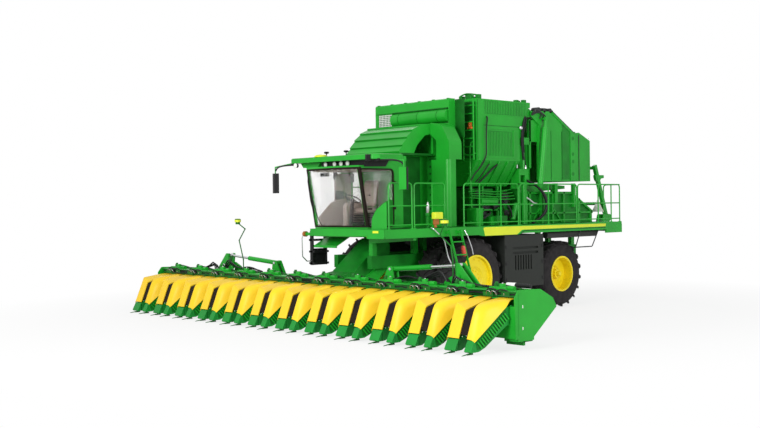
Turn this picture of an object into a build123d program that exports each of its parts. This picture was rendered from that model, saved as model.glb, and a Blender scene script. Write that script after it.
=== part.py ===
"""Twelve-row cotton harvester with a folding header and a round-module builder.

Millimetres, +Z up, ground at z = 0, machine facing -Y, its left side at +X.
Stations along Y are measured from the front of the row shoes and are moved by
centre_y when the pieces are written, so the origin lies under the middle of the machine.
"""
from math import hypot, sqrt
import os

from build123d import *

os.makedirs("parts", exist_ok=True)

# Overall
row_pitch = 1016.0
rows_centre = 8
rows_wing = 2
eye_gap = 5.0             # clearance of a cylinder's rod eye from the stub pins beside it
seat = 0.3                # running clearance between pieces of different bodies at rest
centre_y = 5260.0         # station of the origin

# Wheels: radii, widths and places
front_tyre_r = 955.0
front_tyre_w = 520.0
front_rim_r = 535.0
front_axle_y = 4460.0
front_inner_x = 1110.0    # middle of the inner dual
front_outer_x = 1710.0    # middle of the outer dual
rear_tyre_r = 865.0
rear_tyre_w = 520.0
rear_rim_r = 432.0
rear_axle_y = 8170.0
rear_wheel_x = 1410.0
lug_height = 42.0
lug_width = 58.0
lugs_front = 20           # on each side of the tread
lugs_rear = 18
flange_lip = 30.0
flange_inset = 18.0       # inner face of a rim flange, inside the tyre's width
bead_gap = 6.0
rim_wall = 14.0

# Rear axle and steering
kingpin_x = 1000.0
kingpin_r = 45.0
kingpin_length = 420.0
steer_arm = 260.0         # kingpin to tie rod pin, behind the axle

# Frame
rail_in_x = 520.0
rail_out_x = 660.0
rail_z0 = 1250.0
rail_z1 = 1550.0
rail_y0 = 2300.0
rail_y1 = 10150.0

# Platforms
deck_out_x = 2050.0
deck_in_x = 960.0
deck_top = 2190.0
deck_thick = 60.0
band_depth = 200.0
band_thick = 12.0
deck_y0 = 1400.0
deck_y1 = 9630.0
deck_end_y = 10350.0
tread_top_z = 1870.0
tread_rise = 300.0
stringer_run = 600.0      # how far the ladder's sides slope to the rear
stringer_low_z = 900.0
rail_tube_r = 17.0
rail_top_z = 3200.0
rail_mid_z = 2700.0

# Cab
cab_half = 930.0
cab_floor_z = 2000.0
cab_sill_z = 2230.0
cab_head_z = 3630.0
cab_front_y = 1950.0
cab_brow_y = 1700.0
cab_rear_y = 3080.0
cab_post_y = 2800.0       # rear edge of the side windows and the door
screen_bow = 130.0        # how far the windscreen bows forward
cab_skin = 60.0
glass_thick = 8.0
door_gap = 6.0
door_rail = 40.0
door_hinge_z = (2400.0, 3300.0)
roof_half = 1550.0
roof_plate_z = 3750.0
roof_z1 = 3870.0
roof_y0 = 1620.0
roof_y1 = 3180.0
mirror_x = 2270.0
lamp_row_y = 1860.0
lamp_row_x = (-380.0, -60.0, 170.0, 400.0)
aerial_x = (-420.0, 280.0)

# Bodywork behind the cab
body_half = 1500.0
body_in_x = 1080.0         # left side of the crop chamber, inside the tower
body_y0 = 4270.0
tower_y0 = 4040.0
tower_top_z = 3790.0
body_top_z = 5290.0
upper_y0 = 4500.0
upper_depth = 870.0       # top structure, down from the roof
upper_z0 = body_top_z - upper_depth
builder_y0 = 5060.0
builder_y1 = 7110.0
builder_back_y = 7040.0   # rear face under the hinge step
builder_low_y = 6680.0    # rear face at the bottom
builder_slope_z = 4560.0  # height where the rear face starts to lean back
builder_depth = 1500.0
builder_z0 = body_top_z - builder_depth
hopper_depth = 630.0
hopper_z0 = builder_z0 - hopper_depth
hinge_step = 130.0        # depth of the builder's rear overhang, which carries the gate hinges
step_z = body_top_z - hinge_step
drum_r = 160.0
# ends of each air drum
drum_rows = ((-860.0, -600.0), (-580.0, 75.0), (95.0, 745.0), (765.0, 1060.0))
hood_low_z = 3940.0
louvre_step = 34.0
# station and height of each louvre's lower edge, and the last one's upper edge
louvre_rows = ((3010.0, 3960.0), (3120.0, 4110.0), (3270.0, 4300.0), (3450.0, 4470.0),
               (3700.0, 4605.0), (4500.0, 4700.0))
link_y0 = 4700.0          # rear face of the chamber under the roof step
panel_y0 = 5400.0         # framed panel on the builder's side
panel_y1 = 6480.0
hopper_narrow = 440.0     # how far the hopper's sides lean in
engine_x0 = -450.0
engine_x1 = 1000.0
engine_y0 = 5300.0
engine_y1 = 6200.0
box_out_x = 2000.0
box_y0 = 5450.0
box_y1 = 6950.0
box_z0 = 670.0
box_z1 = 1950.0
# station, height and radius of the belt pulleys
engine_pulleys = ((5560.0, 2960.0, 130.0), (5900.0, 2700.0, 190.0))
gearbox_pulleys = ((6440.0, 2860.0, 170.0), (6500.0, 2480.0, 110.0))

# Rear gate and module handler
gate_inset = 10.0         # gate's side inside the builder's side
gate_half = body_half - gate_inset
gate_hinge_y = 7230.0
gate_hinge_z = body_top_z - 270.0
gate_low_z = 3280.0
gate_foot_y = 7380.0      # lower pin of the gate cylinders
gate_foot_z = 3200.0
gate_eye_y = 7640.0       # upper pin of the gate cylinders
gate_eye_z = gate_hinge_z - 120.0
gate_rod_show = 220.0     # polished rod in sight while the gate is down
gate_strip_y = 8800.0
gate_crown = 90.0         # flat top of the gate over its hinge
gate_crown_y = 8060.0     # where the top starts to slope
gate_break = 440.0        # where the slope ends, below the hinge
gate_break_y = 8990.0
gate_back_y = 9700.0
gate_holes = (3490.0, 3820.0, 4020.0, 4440.0)
handler_half = 1300.0
handler_pivot_y = 10690.0
handler_pivot_z = 2330.0
handler_lean = 520.0      # top of the handler, forward of its pivot and above it
handler_rise = 1420.0

# Header
shoe_top_z = 300.0
shoe_low_z = 30.0
hood_knee_y = 316.0
hood_knee_z = 850.0
hood_rear_y = 930.0
hood_rear_z = 970.0
slot_half = 100.0
hood_nose = 325.0         # half width of a row at its front
hood_half = 430.0
flare_y = 760.0
hood_round = 48.0
trough_y0 = 790.0
trough_y1 = 2000.0
trough_z1 = 1110.0
shelf_z = 838.0           # top of the row troughs, under the back of the hoods
slope_y = 710.0           # top of the slope between shoe and hood
fold_x = 4064.0           # wing hinge, half way between the fourth and fifth rows from the middle
fold_z = 1230.0
fold_gap = 30.0
fold_y = 1650.0           # middle of the hinge towers and fold cylinders
fold_anchor_x = 2050.0
fold_anchor_z = 1340.0
horn_in = 60.0            # horn pin of a wing, inboard of and above its hinge
horn_up = 250.0
wing_end_x = 6130.0
end_plate = 20.0
# side offsets and heights of the warning lamps' bent stalks, from the trough up
lamp_stalks = (((4000.0, 1125.0), (4000.0, 1600.0), (3950.0, 1880.0), (3650.0, 2100.0), (3780.0, 2320.0)),
               ((-3180.0, 1125.0), (-3180.0, 1400.0), (-3350.0, 1880.0), (-3090.0, 2170.0),
                (-3400.0, 2320.0)))
lift_pivot_y = 3200.0
lift_pivot_z = 1400.0


def profile(points, plane):
    """Face on a plane from rows of (u, v) or (u, v, corner radius)."""
    face = make_face(Polyline(*[(p[0], p[1]) for p in points], close=True))
    for p in [p for p in points if len(p) > 2]:
        corner = min(face.vertices(), key=lambda v: hypot(v.X - p[0], v.Y - p[1]))
        face = fillet(corner, p[2])
    return plane * face


def across(points, x0, x1):
    """Side profile of (y, z) rows, extruded from x0 to x1."""
    return extrude(profile(points, Plane.YZ.offset(x0)), amount=x1 - x0)


def along(points, y0, y1):
    """Front profile of (x, z) rows, extruded from y0 to y1."""
    return extrude(profile(points, Plane.XZ.offset(-y1)), amount=y1 - y0)


def upright(points, z0, z1):
    """Plan profile of (x, y) rows, extruded from z0 to z1."""
    return extrude(profile(points, Plane.XY.offset(z0)), amount=z1 - z0)


def block(x0, x1, y0, y1, z0, z1):
    size = (x1 - x0, y1 - y0, z1 - z0)
    return Pos((x0 + x1) / 2, (y0 + y1) / 2, (z0 + z1) / 2) * Box(*size)


def rod(a, b, radius):
    """Round bar between two points."""
    a, b = Vector(*a), Vector(*b)
    place = Plane(origin=a, z_dir=b - a)
    align = (Align.CENTER, Align.CENTER, Align.MIN)
    return place * Cylinder(radius, (b - a).length, align=align)


def beam(a, b, width, depth):
    """Box section between two points, its width level."""
    a, b = Vector(*a), Vector(*b)
    run = b - a
    level = run.cross(Vector(0, 0, 1))
    if level.length < 1e-6:
        level = Vector(1, 0, 0)
    place = Plane(origin=a, x_dir=level, z_dir=run)
    align = (Align.CENTER, Align.CENTER, Align.MIN)
    return place * Box(width, depth, run.length, align=align)


def mirrored(shape):
    return mirror(shape, about=Plane.YZ)


def both(shape):
    return [shape, mirrored(shape)]


def fuse(pieces):
    pieces = list(pieces)
    return pieces[0].fuse(*pieces[1:]) if len(pieces) > 1 else pieces[0]


def wheel_ring(points, x, y, z):
    """Rows of (offset along the axle, radius), turned about the axle at a place."""
    face = make_face(Polyline(*[(p[0], p[1]) for p in points], close=True))
    return Pos(x, y, z) * revolve(face, Axis.X, 360)


def tyre(x, y, radius, width, rim_r, lugs):
    """Tyre with bar lugs."""
    half = width / 2
    tread = radius - lug_height
    bead = rim_r + bead_gap
    face = half - flange_inset - seat
    points = [
        (-face, bead), (-face, rim_r + flange_lip), (-half + 8, bead + 60), (-half, (tread + bead) / 2),
        (-half + 14, tread - 70), (-half + 60, tread - 14), (-half + 130, tread),
        (half - 130, tread), (half - 60, tread - 14), (half - 14, tread - 70),
        (half, (tread + bead) / 2), (half - 8, bead + 60), (face, rim_r + flange_lip), (face, bead),
    ]
    body = wheel_ring(points, 0, 0, 0)
    bars = []
    reach = half - 8
    for side in (-1, 1):
        for i in range(lugs):
            turn = 360 / lugs * (i + (0.5 if side > 0 else 0))
            bar = upright([
                (side * 4, -lug_width / 2 - 10), (side * reach, reach * 0.62 - lug_width / 2),
                (side * reach, reach * 0.62 + lug_width / 2), (side * 4, lug_width / 2 - 10),
            ], tread - 60, radius - 0.5)
            bars.append(Rot(turn, 0, 0) * bar)
    shape = body.fuse(*bars)
    cut = wheel_ring([(-half - 50, radius + 80), (-half - 50, tread - 74), (-half + 4, tread - 70),
                      (-half + 40, radius), (half - 40, radius), (half - 4, tread - 70),
                      (half + 50, tread - 74), (half + 50, radius + 80)], 0, 0, 0)
    shape = shape - cut
    return Pos(x, y, radius) * shape


def rim(x, y, z, rim_r, width, dish, hub_r, sign):
    """Wheel rim with its disc; dish is the disc's offset toward the outside."""
    face = width / 2 - flange_inset
    lip = rim_r + flange_lip
    wall = rim_r - rim_wall
    barrel = [(-face, rim_r), (-face, lip), (-face - 12, lip), (-face - 12, wall),
              (face + 12, wall), (face + 12, lip), (face, lip), (face, rim_r)]
    d = sign * dish
    disc = [(d, 0), (d + sign * 16, 0), (d + sign * 16, hub_r), (d + sign * 60, hub_r + 60),
            (d + sign * 60, wall + 2), (d + sign * 44, wall + 2), (d + sign * 44, hub_r + 70),
            (d, hub_r + 10)]
    return wheel_ring(barrel, x, y, z).fuse(wheel_ring(disc, x, y, z))


nodes = {}


def add(name, *pieces):
    flat = []
    for piece in pieces:
        flat += piece if isinstance(piece, list) else [piece]
    nodes.setdefault(name, []).extend(flat)


# Wheels


def front_wheels():
    left_inner = tyre(front_inner_x, front_axle_y, front_tyre_r, front_tyre_w, front_rim_r, lugs_front)
    left_outer = Pos(front_outer_x - front_inner_x, 0, 0) * left_inner
    add("tyres_front_left", left_inner, left_outer)
    add("tyres_front_right", mirrored(left_inner), mirrored(left_outer))
    inner = rim(front_inner_x, front_axle_y, front_tyre_r, front_rim_r, front_tyre_w, -20, 200, 1)
    outer = rim(front_outer_x, front_axle_y, front_tyre_r, front_rim_r, front_tyre_w, 120, 240, 1)
    hub = rod((830, front_axle_y, front_tyre_r), (front_outer_x + 160, front_axle_y, front_tyre_r), 150)
    left = fuse([inner, outer, hub])
    add("rim_front_left", left)
    add("rim_front_right", mirrored(left))


def rear_wheels():
    left = tyre(rear_wheel_x, rear_axle_y, rear_tyre_r, rear_tyre_w, rear_rim_r, lugs_rear)
    add("tyre_rear_left", left)
    add("tyre_rear_right", mirrored(left))
    hoop = rim(rear_wheel_x, rear_axle_y, rear_tyre_r, rear_rim_r, rear_tyre_w, -60, 150, 1)
    hub = rod((rear_wheel_x - 160, rear_axle_y, rear_tyre_r),
              (rear_wheel_x + 90, rear_axle_y, rear_tyre_r), 120)
    left = fuse([hoop, hub])
    add("rim_rear_left", left)
    add("rim_rear_right", mirrored(left))


def rear_knuckles():
    z = rear_tyre_r
    half = kingpin_length / 2
    pin = rod((kingpin_x, rear_axle_y, z - half), (kingpin_x, rear_axle_y, z + half), kingpin_r)
    body = block(kingpin_x - 70, kingpin_x + 90, rear_axle_y - 90, rear_axle_y + 90, z - 95, z + 95)
    spindle = rod((kingpin_x + 60, rear_axle_y, z), (rear_wheel_x - 160 - seat, rear_axle_y, z), 85)
    arm = beam((kingpin_x, rear_axle_y, z - 60), (kingpin_x, rear_axle_y + steer_arm + 40, z - 60), 90, 50)
    knuckle = fuse([body, spindle, arm]) - rod(
        (kingpin_x, rear_axle_y + steer_arm, z - 120), (kingpin_x, rear_axle_y + steer_arm, z), 16)
    knuckle = knuckle.fuse(pin)
    add("knuckle_rear_left", knuckle)
    add("knuckle_rear_right", mirrored(knuckle))
    x = kingpin_x
    y = rear_axle_y + steer_arm
    bar = rod((-x + 20, y, z - 140), (x - 20, y, z - 140), 26)
    eyes = [rod((s * x, y, z - 170), (s * x, y, z - 105), 40) for s in (1, -1)]
    pins = [rod((s * x, y, z - 106), (s * x, y, z - 36), 15) for s in (1, -1)]
    add("tie_rod", fuse([bar] + eyes + pins))


# Frame and axles


def frame():
    rails = both(block(rail_in_x, rail_out_x, rail_y0, rail_y1, rail_z0, rail_z1))
    crosses = [block(-rail_in_x, rail_in_x, y, y + 160, rail_z0 + 30, rail_z1 - 20)
               for y in (3500, 4900, 7000, 9000, rail_y1 - 160)]
    pivots = both(block(rail_in_x - 20, rail_in_x, lift_pivot_y - 110, lift_pivot_y + 110,
                        lift_pivot_z - 120, rail_z1))
    for y in (rail_y0 + 40, 3700, 5200, 7080, 8900, rail_y1 - 200):
        under_cab = y < cab_rear_y
        top = cab_floor_z if under_cab else deck_top - deck_thick
        post = block(rail_in_x + 10, rail_out_x - 10, y, y + 140, rail_z1, top)
        arm = block(rail_out_x - 20, deck_out_x - 60, y, y + 100, top - 110, top)
        stub = [block(1300, 1420, y, y + 100, top, deck_top - deck_thick)] if under_cab else []
        add("outriggers", both(fuse([post, arm] + stub)))
    saddle = [block(-rail_out_x + 40, rail_out_x - 40, rear_axle_y - 160, rear_axle_y + 160, 1150,
                    rail_z0 + 40)]
    lug = [block(-120, 120, rear_axle_y + t, rear_axle_y + t + 60, 700, 1160) for t in (-160, 100)]
    bore = rod((0, rear_axle_y - 300, rear_tyre_r), (0, rear_axle_y + 300, rear_tyre_r), 60 + seat)
    lug = [ear - bore for ear in lug]
    hitch = [block(-110, 110, rail_y1, rail_y1 + 170, 1340, 1380),
             block(-110, 110, rail_y1, rail_y1 + 170, 1460, 1500)]
    whole = fuse(rails + crosses + pivots + saddle + lug + hitch)
    whole = whole - rod((0, rail_y1 + 110, 1300), (0, rail_y1 + 110, 1520), 20)
    whole = whole - rod((-600, lift_pivot_y, lift_pivot_z), (600, lift_pivot_y, lift_pivot_z), 36)
    add("frame", whole)
    z = front_tyre_r
    housing = rod((-700, front_axle_y, z), (700, front_axle_y, z), 150)
    drives = both(rod((560, front_axle_y, z), (829.7, front_axle_y, z), 190))
    stands = both(block(540, 640, front_axle_y - 150, front_axle_y + 150, z, rail_z0))
    gearbox = block(-200, 200, front_axle_y - 220, front_axle_y + 240, z - 210, z + 210)
    add("front_axle", fuse([housing, gearbox] + drives + stands))
    z = rear_tyre_r
    axle = block(-kingpin_x + 120, kingpin_x - 120, rear_axle_y - 80, rear_axle_y + 80, z - 90, z + 90)
    yokes = []
    for s in (1, -1):
        for low, high in ((z - 200, z - 100), (z + 100, z + 200)):
            eye = rod((s * kingpin_x, rear_axle_y, low), (s * kingpin_x, rear_axle_y, high), 85)
            x0, x1 = sorted((s * (kingpin_x - 190), s * kingpin_x))
            yokes.append(eye.fuse(block(x0, x1, rear_axle_y - 80, rear_axle_y + 80, low, high)))
        x0, x1 = sorted((s * (kingpin_x - 190), s * (kingpin_x - 120)))
        yokes.append(block(x0, x1, rear_axle_y - 80, rear_axle_y + 80, z - 200, z + 200))
    axle = fuse([axle] + yokes)
    for s in (1, -1):
        axle = axle - rod((s * kingpin_x, rear_axle_y, z - 300), (s * kingpin_x, rear_axle_y, z + 300),
                          kingpin_r + seat)
    pivot = rod((0, rear_axle_y - 165, z), (0, rear_axle_y + 165, z), 60)
    add("rear_axle", axle.fuse(pivot))


# Platforms, rails and steps


def platforms():
    deck = block(deck_in_x, deck_out_x - band_thick, deck_y0, deck_y1, deck_top - deck_thick, deck_top)
    band = across([(deck_y0, deck_top), (deck_y0, deck_top - 150), (deck_y0 + 60, deck_top - band_depth),
                   (4450, deck_top - band_depth), (4620, deck_top - 230), (5900, deck_top - 230),
                   (6080, deck_top - band_depth), (deck_y1, deck_top - band_depth), (deck_y1, deck_top)],
                  deck_out_x - band_thick, deck_out_x)
    front = block(1500, deck_out_x, deck_y0 - 12, deck_y0, deck_top - band_depth, deck_top)
    left = fuse([deck, band, front])
    rear = block(-deck_out_x, deck_out_x, deck_y1, deck_end_y, deck_top - deck_thick, deck_top)
    tail = both(block(deck_out_x - 55, deck_out_x, deck_y1, deck_end_y + 10, deck_top - 290,
                      deck_top - deck_thick))
    middle = block(-deck_in_x, deck_in_x, 3200, deck_y1, deck_top - deck_thick, deck_top)
    add("platforms", fuse([left, mirrored(left), rear, middle] + tail))


def rail_panel(x, y0, y1, posts, z0=None):
    z0 = deck_top if z0 is None else z0
    pieces = [rod((x, y0, z), (x, y1, z), rail_tube_r) for z in (rail_top_z, rail_mid_z, z0 + 90)]
    pieces += [rod((x, y, z0), (x, y, rail_top_z + rail_tube_r), rail_tube_r + 5) for y in [y0, y1] + posts]
    return fuse(pieces)


def guard_sheet():
    """Sheet with a slanted top at the front end of each platform."""
    x = deck_out_x - 20
    return both(along([(x - 480, deck_top), (x - 470, deck_top + 240), (x - 330, deck_top + 430, 60),
                       (x, deck_top + 620, 30), (x, deck_top)], deck_y0 + 90, deck_y0 + 102))


def handrails():
    x = deck_out_x - 30
    runs = [
        (1570, 2280, []), (2350, 3330, [2920]), (3980, 5960, [4530, 5300]),
        (6010, 8340, [7150]), (8390, 10300, [9300, 9900]),
    ]
    panels = []
    for y0, y1, posts in runs:
        panels += both(rail_panel(x, y0, y1, posts))
    ends = []
    for z in (rail_top_z, rail_mid_z):
        ends += both(rod((1500, 10300, z), (x, 10300, z), rail_tube_r))
    ends += both(rod((1500, 10300, deck_top), (1500, 10300, rail_top_z + rail_tube_r), rail_tube_r + 5))
    add("handrails", fuse(panels + ends))
    add("platforms", [sheet - nodes["handrails"][0] for sheet in guard_sheet()])


def ladder():
    pieces = []
    x = deck_out_x + 60
    for y0 in (3960, 3560):
        pieces.append(beam((x, y0, deck_top - 40), (x, y0 + stringer_run, stringer_low_z), 40, 60))
        pieces.append(block(deck_out_x, deck_out_x + 60, y0 - 20, y0 + 60, deck_top - 140, deck_top - 80))
    for i in range(4):
        z = tread_top_z - tread_rise * i
        y = 3760 + (deck_top - z) * stringer_run / (deck_top - stringer_low_z)
        pieces.append(block(deck_out_x + 20, deck_out_x + 130, y - 200, y + 200, z - 15, z + 15))
    return pieces


def hanging_step():
    """Slanted step frame under the rear of the left platform."""
    x = deck_out_x - band_thick - 14
    under = deck_top - deck_thick
    corners = [(x, 8560, under + 12), (x, 8270, 1560), (x, 9000, 1560), (x, 9390, under + 12)]
    bars = [beam(a, b, 24, 34) for a, b in zip(corners, corners[1:])]
    bars.append(block(x - 90, x + 12, 8262, 9012, 1543, 1568))
    return fuse(bars) & block(x - 200, x + 20, 8000, 9600, 1500, under)


# Cab


def side_opening(inset):
    """Side window of the cab from its slim front post to its rear post, drawn in by an inset."""
    low, high = deck_top + 20 + inset, cab_head_z - 60 - inset
    lean = (cab_front_y - cab_brow_y) / (cab_head_z - cab_sill_z)
    front = cab_front_y + cab_skin + inset
    corner = max(130 - inset, 30)
    return [(front - lean * (low - cab_sill_z), low), (front - lean * (high - cab_sill_z), high),
            (cab_post_y - inset, high, corner), (cab_post_y - inset, low, 40)]


def bowed_plan(half, front, rear, bow):
    """Plan face with a straight back and sides and a front that bows forward."""
    edges = Polyline((-half, front), (-half, rear), (half, rear), (half, front)).edges()
    edges += [ThreePointArc((half, front), (0, front - bow), (-half, front))]
    return make_face(edges)


def cab():
    lean = Vector(0, cab_brow_y - cab_front_y, cab_head_z - cab_sill_z)
    far = cab_rear_y + 600
    plan = bowed_plan(cab_half, cab_front_y, far, screen_bow)
    upper = extrude(Pos(0, 0, cab_sill_z) * plan, amount=lean.length, dir=lean)
    lower = extrude(Pos(0, 0, cab_floor_z) * plan, amount=cab_sill_z - cab_floor_z)
    limit = block(-cab_half - 50, cab_half + 50, 1000, cab_rear_y, cab_floor_z, cab_head_z)
    shell = upper.fuse(lower) & limit
    wide = cab_half - cab_skin
    shell = shell - across([(1000, cab_sill_z), (1000, cab_head_z - 50),
                            (cab_rear_y - cab_skin, cab_head_z - 50),
                            (cab_rear_y - cab_skin, cab_floor_z + 120),
                            (cab_front_y + cab_skin, cab_floor_z + 120),
                            (cab_front_y + cab_skin, cab_sill_z)], -wide, wide)
    shell = shell - across(side_opening(0), -cab_half - 10, cab_half + 10)
    shell = shell - block(-cab_half + 110, cab_half - 110, cab_rear_y - 100, cab_rear_y + 10,
                          cab_sill_z + 300, cab_head_z - 100)
    add("cab_frame", shell)
    g = seat
    bow_r = (cab_half ** 2 + screen_bow ** 2) / (2 * screen_bow)
    half = wide - g
    set_back = screen_bow - bow_r + sqrt(bow_r ** 2 - half ** 2)
    faces = []
    for depth in (10, 10 + glass_thick):
        y = cab_front_y - set_back + depth
        faces.append((ThreePointArc((half, y), (0, cab_front_y - screen_bow + depth), (-half, y)), y))
    sides = [Line((s * half, faces[0][1]), (s * half, faces[1][1])) for s in (1, -1)]
    sheet = make_face([faces[0][0], faces[1][0]] + sides)
    screen = extrude(Pos(0, 0, cab_sill_z) * sheet, amount=lean.length, dir=lean)
    screen = screen & block(-half - 10, half + 10, 1000, cab_rear_y, cab_sill_z + g, cab_head_z - 50 - g)
    right = across(side_opening(g), -cab_half + 40 - glass_thick, -cab_half + 40)
    back = block(-cab_half + 110 + g, cab_half - 110 - g, cab_rear_y - 34, cab_rear_y - 34 + glass_thick,
                 cab_sill_z + 300 + g, cab_head_z - 100 - g)
    add("cab_glass", screen, right, back)
    door()


def door():
    """Left door, one long pane in a slim frame, hung on two pins at its rear edge."""
    frame_out = across(side_opening(door_gap), cab_half - 45, cab_half - 5)
    rebate = door_gap + door_rail
    frame_out = frame_out - across(side_opening(rebate), cab_half - 60, cab_half + 10)
    x, y = cab_half + 18, cab_post_y + 10
    leaves = []
    pins = []
    for z in door_hinge_z:
        sleeve = rod((x, y, z), (x, y, z + 60), 16).fuse(block(cab_half - 20, x, y - 60, y - 12, z, z + 60))
        leaves.append(sleeve - rod((x, y, z - 5), (x, y, z + 65), 8 + seat))
        pins.append(rod((x, y, z - 30), (x, y, z + 90), 8))
        for low_arm in (z - 30, z + 60 + 5):
            pins.append(block(cab_half - 5, x + 10, y - 10, y + 40, low_arm, low_arm + 25))
    bore = [rod((x, y, z - 5), (x, y, z + 65), 8 + seat) for z in door_hinge_z]
    add("door_frame", fuse([frame_out] + leaves) - bore[0] - bore[1])
    nodes["cab_frame"] = [nodes["cab_frame"][0].fuse(*pins)]
    add("door_glass", across(side_opening(rebate + seat), cab_half - 29, cab_half - 29 + glass_thick))


def roof():
    """Roof plate with side wings, the green blocks under it and the mirror arms."""
    wing_y = roof_y0 + 900
    plate = upright([(-roof_half, roof_y0 + 130, 60), (-roof_half + 120, roof_y0 + 20, 60), (-600, roof_y0),
                     (600, roof_y0), (roof_half - 120, roof_y0 + 20, 60), (roof_half, roof_y0 + 130, 60),
                     (roof_half, wing_y, 90), (cab_half + 20, wing_y + 150, 60), (cab_half + 20, roof_y1),
                     (-cab_half - 20, roof_y1), (-cab_half - 20, wing_y + 150, 60),
                     (-roof_half, wing_y, 90)],
                    roof_plate_z, roof_z1)
    plate = fillet(plate.faces().sort_by(Axis.Z)[-1].edges(), 36)
    base = block(-cab_half, cab_half, lamp_row_y + 80, roof_y1, cab_head_z, roof_plate_z)
    left = along([(-1340, roof_plate_z), (-1240, cab_head_z + 10, 20), (-690, cab_head_z + 10, 20),
                  (-600, roof_plate_z)], lamp_row_y, wing_y - 20)
    arms = []
    for s in (1, -1):
        arms += [beam((s * (roof_half - 150), roof_y0 + 150, roof_plate_z + 20),
                      (s * mirror_x, roof_y0 + 180, roof_plate_z - 60), 30, 30),
                 rod((s * mirror_x, roof_y0 + 180, roof_plate_z - 45),
                     (s * mirror_x, roof_y0 + 180, 3540), 14)]
    add("cab_roof", fuse([plate, base, left] + arms))
    mirrors = []
    for s in (1, -1):
        mirrors.append(upright([(s * mirror_x - 110, roof_y0 + 215, 20),
                                (s * mirror_x - 110, roof_y0 + 170, 20),
                                (s * mirror_x, roof_y0 + 140), (s * mirror_x + 110, roof_y0 + 170, 20),
                                (s * mirror_x + 110, roof_y0 + 215, 20)], 3050, 3540 - seat))
    add("mirrors", mirrors)


def roof_lamps():
    """Black lamp row under the roof, with two aerials, a camera and the band over the door."""
    panel = block(-560, cab_half, lamp_row_y, lamp_row_y + 80 - seat, cab_head_z + 10, roof_plate_z)
    lenses = [rod((x, lamp_row_y - 25, roof_plate_z - 58), (x, lamp_row_y + 10, roof_plate_z - 58), 46)
              for x in lamp_row_x]
    band = across([(lamp_row_y, roof_plate_z), (lamp_row_y, cab_head_z - 30),
                   (cab_post_y - 300, cab_head_z - 20),
                   (cab_post_y - 200, roof_plate_z)], cab_half + seat, cab_half + 40)
    join = block(cab_half - 30, cab_half + 20, lamp_row_y, lamp_row_y + 80 - seat, cab_head_z + 10,
                 roof_plate_z)
    add("roof_lamps", fuse([panel, band, join] + lenses))
    for x in aerial_x:
        stem = rod((x, 1900, roof_z1), (x, 1900, roof_z1 + 90), 12)
        cap = Pos(x, 1900, roof_z1 + 105) * Cone(38, 50, 40)
        add("roof_lamps", stem.fuse(cap))
    x = -roof_half + 270
    lamp = rod((x, roof_y0 + 30, roof_plate_z - 55), (x, roof_y0 + 90, roof_plate_z - 55), 50)
    hold = block(x - 15, x + 15, roof_y0 + 50, roof_y0 + 80, roof_plate_z - 20, roof_plate_z)
    add("roof_lamps", lamp.fuse(hold))
    x = roof_half - 210
    case = block(x - 55, x + 55, roof_y0 - 50, roof_y0 + 60, roof_plate_z - 40, roof_z1 - 20)
    eyes = [rod((x, roof_y0 - 60, z), (x, roof_y0 - 40, z), 34) for z in (roof_z1 - 60, roof_plate_z)]
    add("roof_lamps", case.fuse(*eyes) - nodes["cab_roof"][0])


def cab_fittings():
    roof()
    roof_lamps()
    cushion = across([(2420, 2520), (2400, 2600, 30), (2440, 2660, 30), (2880, 2640, 20), (2880, 2520)],
                     -260, 260)
    back = across([(2860, 2640), (2990, 3330, 40), (2910, 3350, 30), (2760, 2640, 20)], -250, 250)
    base = block(-200, 200, 2470, 2860, cab_floor_z + 120, 2520)
    arm = block(-420, -290, 2380, 2880, 2740, 2800)
    console = block(-420, -300, 2400, 2880, cab_floor_z + 120, 2740)
    column = beam((0, 2250, cab_floor_z + 130), (0, 2337, 2874), 90, 90).fuse(
        block(-80, 80, 2190, 2310, cab_floor_z + 120, cab_floor_z + 145))
    wheel = Pos(0, 2340, 2880) * Rot(-28, 0, 0) * Torus(190, 16)
    spokes = Pos(0, 2340, 2880) * Rot(-28, 0, 0) * Box(380, 40, 20)
    add("operator_station", fuse([cushion, back, base, console, arm]), fuse([column, wheel, spokes]))
    front = cab_front_y - screen_bow
    bar = block(-820, 820, front - 120, front - 10, cab_floor_z + 20, cab_floor_z + 190)
    hold = both(block(480, 620, front - 20, cab_front_y, cab_floor_z + 40, cab_floor_z + 160))
    wings = both(block(800, 1040, front - 90, front - 40, cab_floor_z + 25, cab_floor_z + 95))
    ends = both(rod((1040, front - 65, cab_floor_z + 60), (1110, front - 65, cab_floor_z + 60), 60))
    add("cab_front_beam", fuse([bar] + hold + wings + ends) - nodes["cab_frame"][0])


# Bodywork


def louvred_hood():
    """Arched hood of stepped louvres behind the roof, hollow and open at its left side under an arch."""
    points = [(louvre_rows[0][0], hood_low_z)]
    for (y0, z0), (y1, z1) in zip(louvre_rows, louvre_rows[1:]):
        length = hypot(y1 - y0, z1 - z0)
        points += [(y0 - louvre_step * (z1 - z0) / length, z0 + louvre_step * (y1 - y0) / length), (y1, z1)]
    points += [(upper_y0, upper_z0), (body_y0, upper_z0), (body_y0, hood_low_z)]
    hood = across(points, -950, 900)
    inner = [(louvre_rows[0][0] + 110, hood_low_z - 10)]
    inner += [(y + 55, z - 65) for y, z in louvre_rows[1:-1]]
    inner += [(body_y0 - 40, louvre_rows[-1][1] - 110), (body_y0 - 40, hood_low_z - 10)]
    hood = hood - across(inner, -890, 840)
    arch = [(3480, hood_low_z - 10), (3600, 4140, 80), (3860, 4370, 90), (4060, 4420, 60), (4140, 4330, 40),
            (4140, hood_low_z - 10)]
    hood = hood - across(arch, 830, 910)
    floor = block(-950, 900, louvre_rows[0][0] + 20, body_y0, hood_low_z - 40, hood_low_z)
    lower = block(-700, 560, 3240, body_y0, deck_top, hood_low_z - 40)
    add("rear_hood", fuse([hood, floor, lower]))


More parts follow.
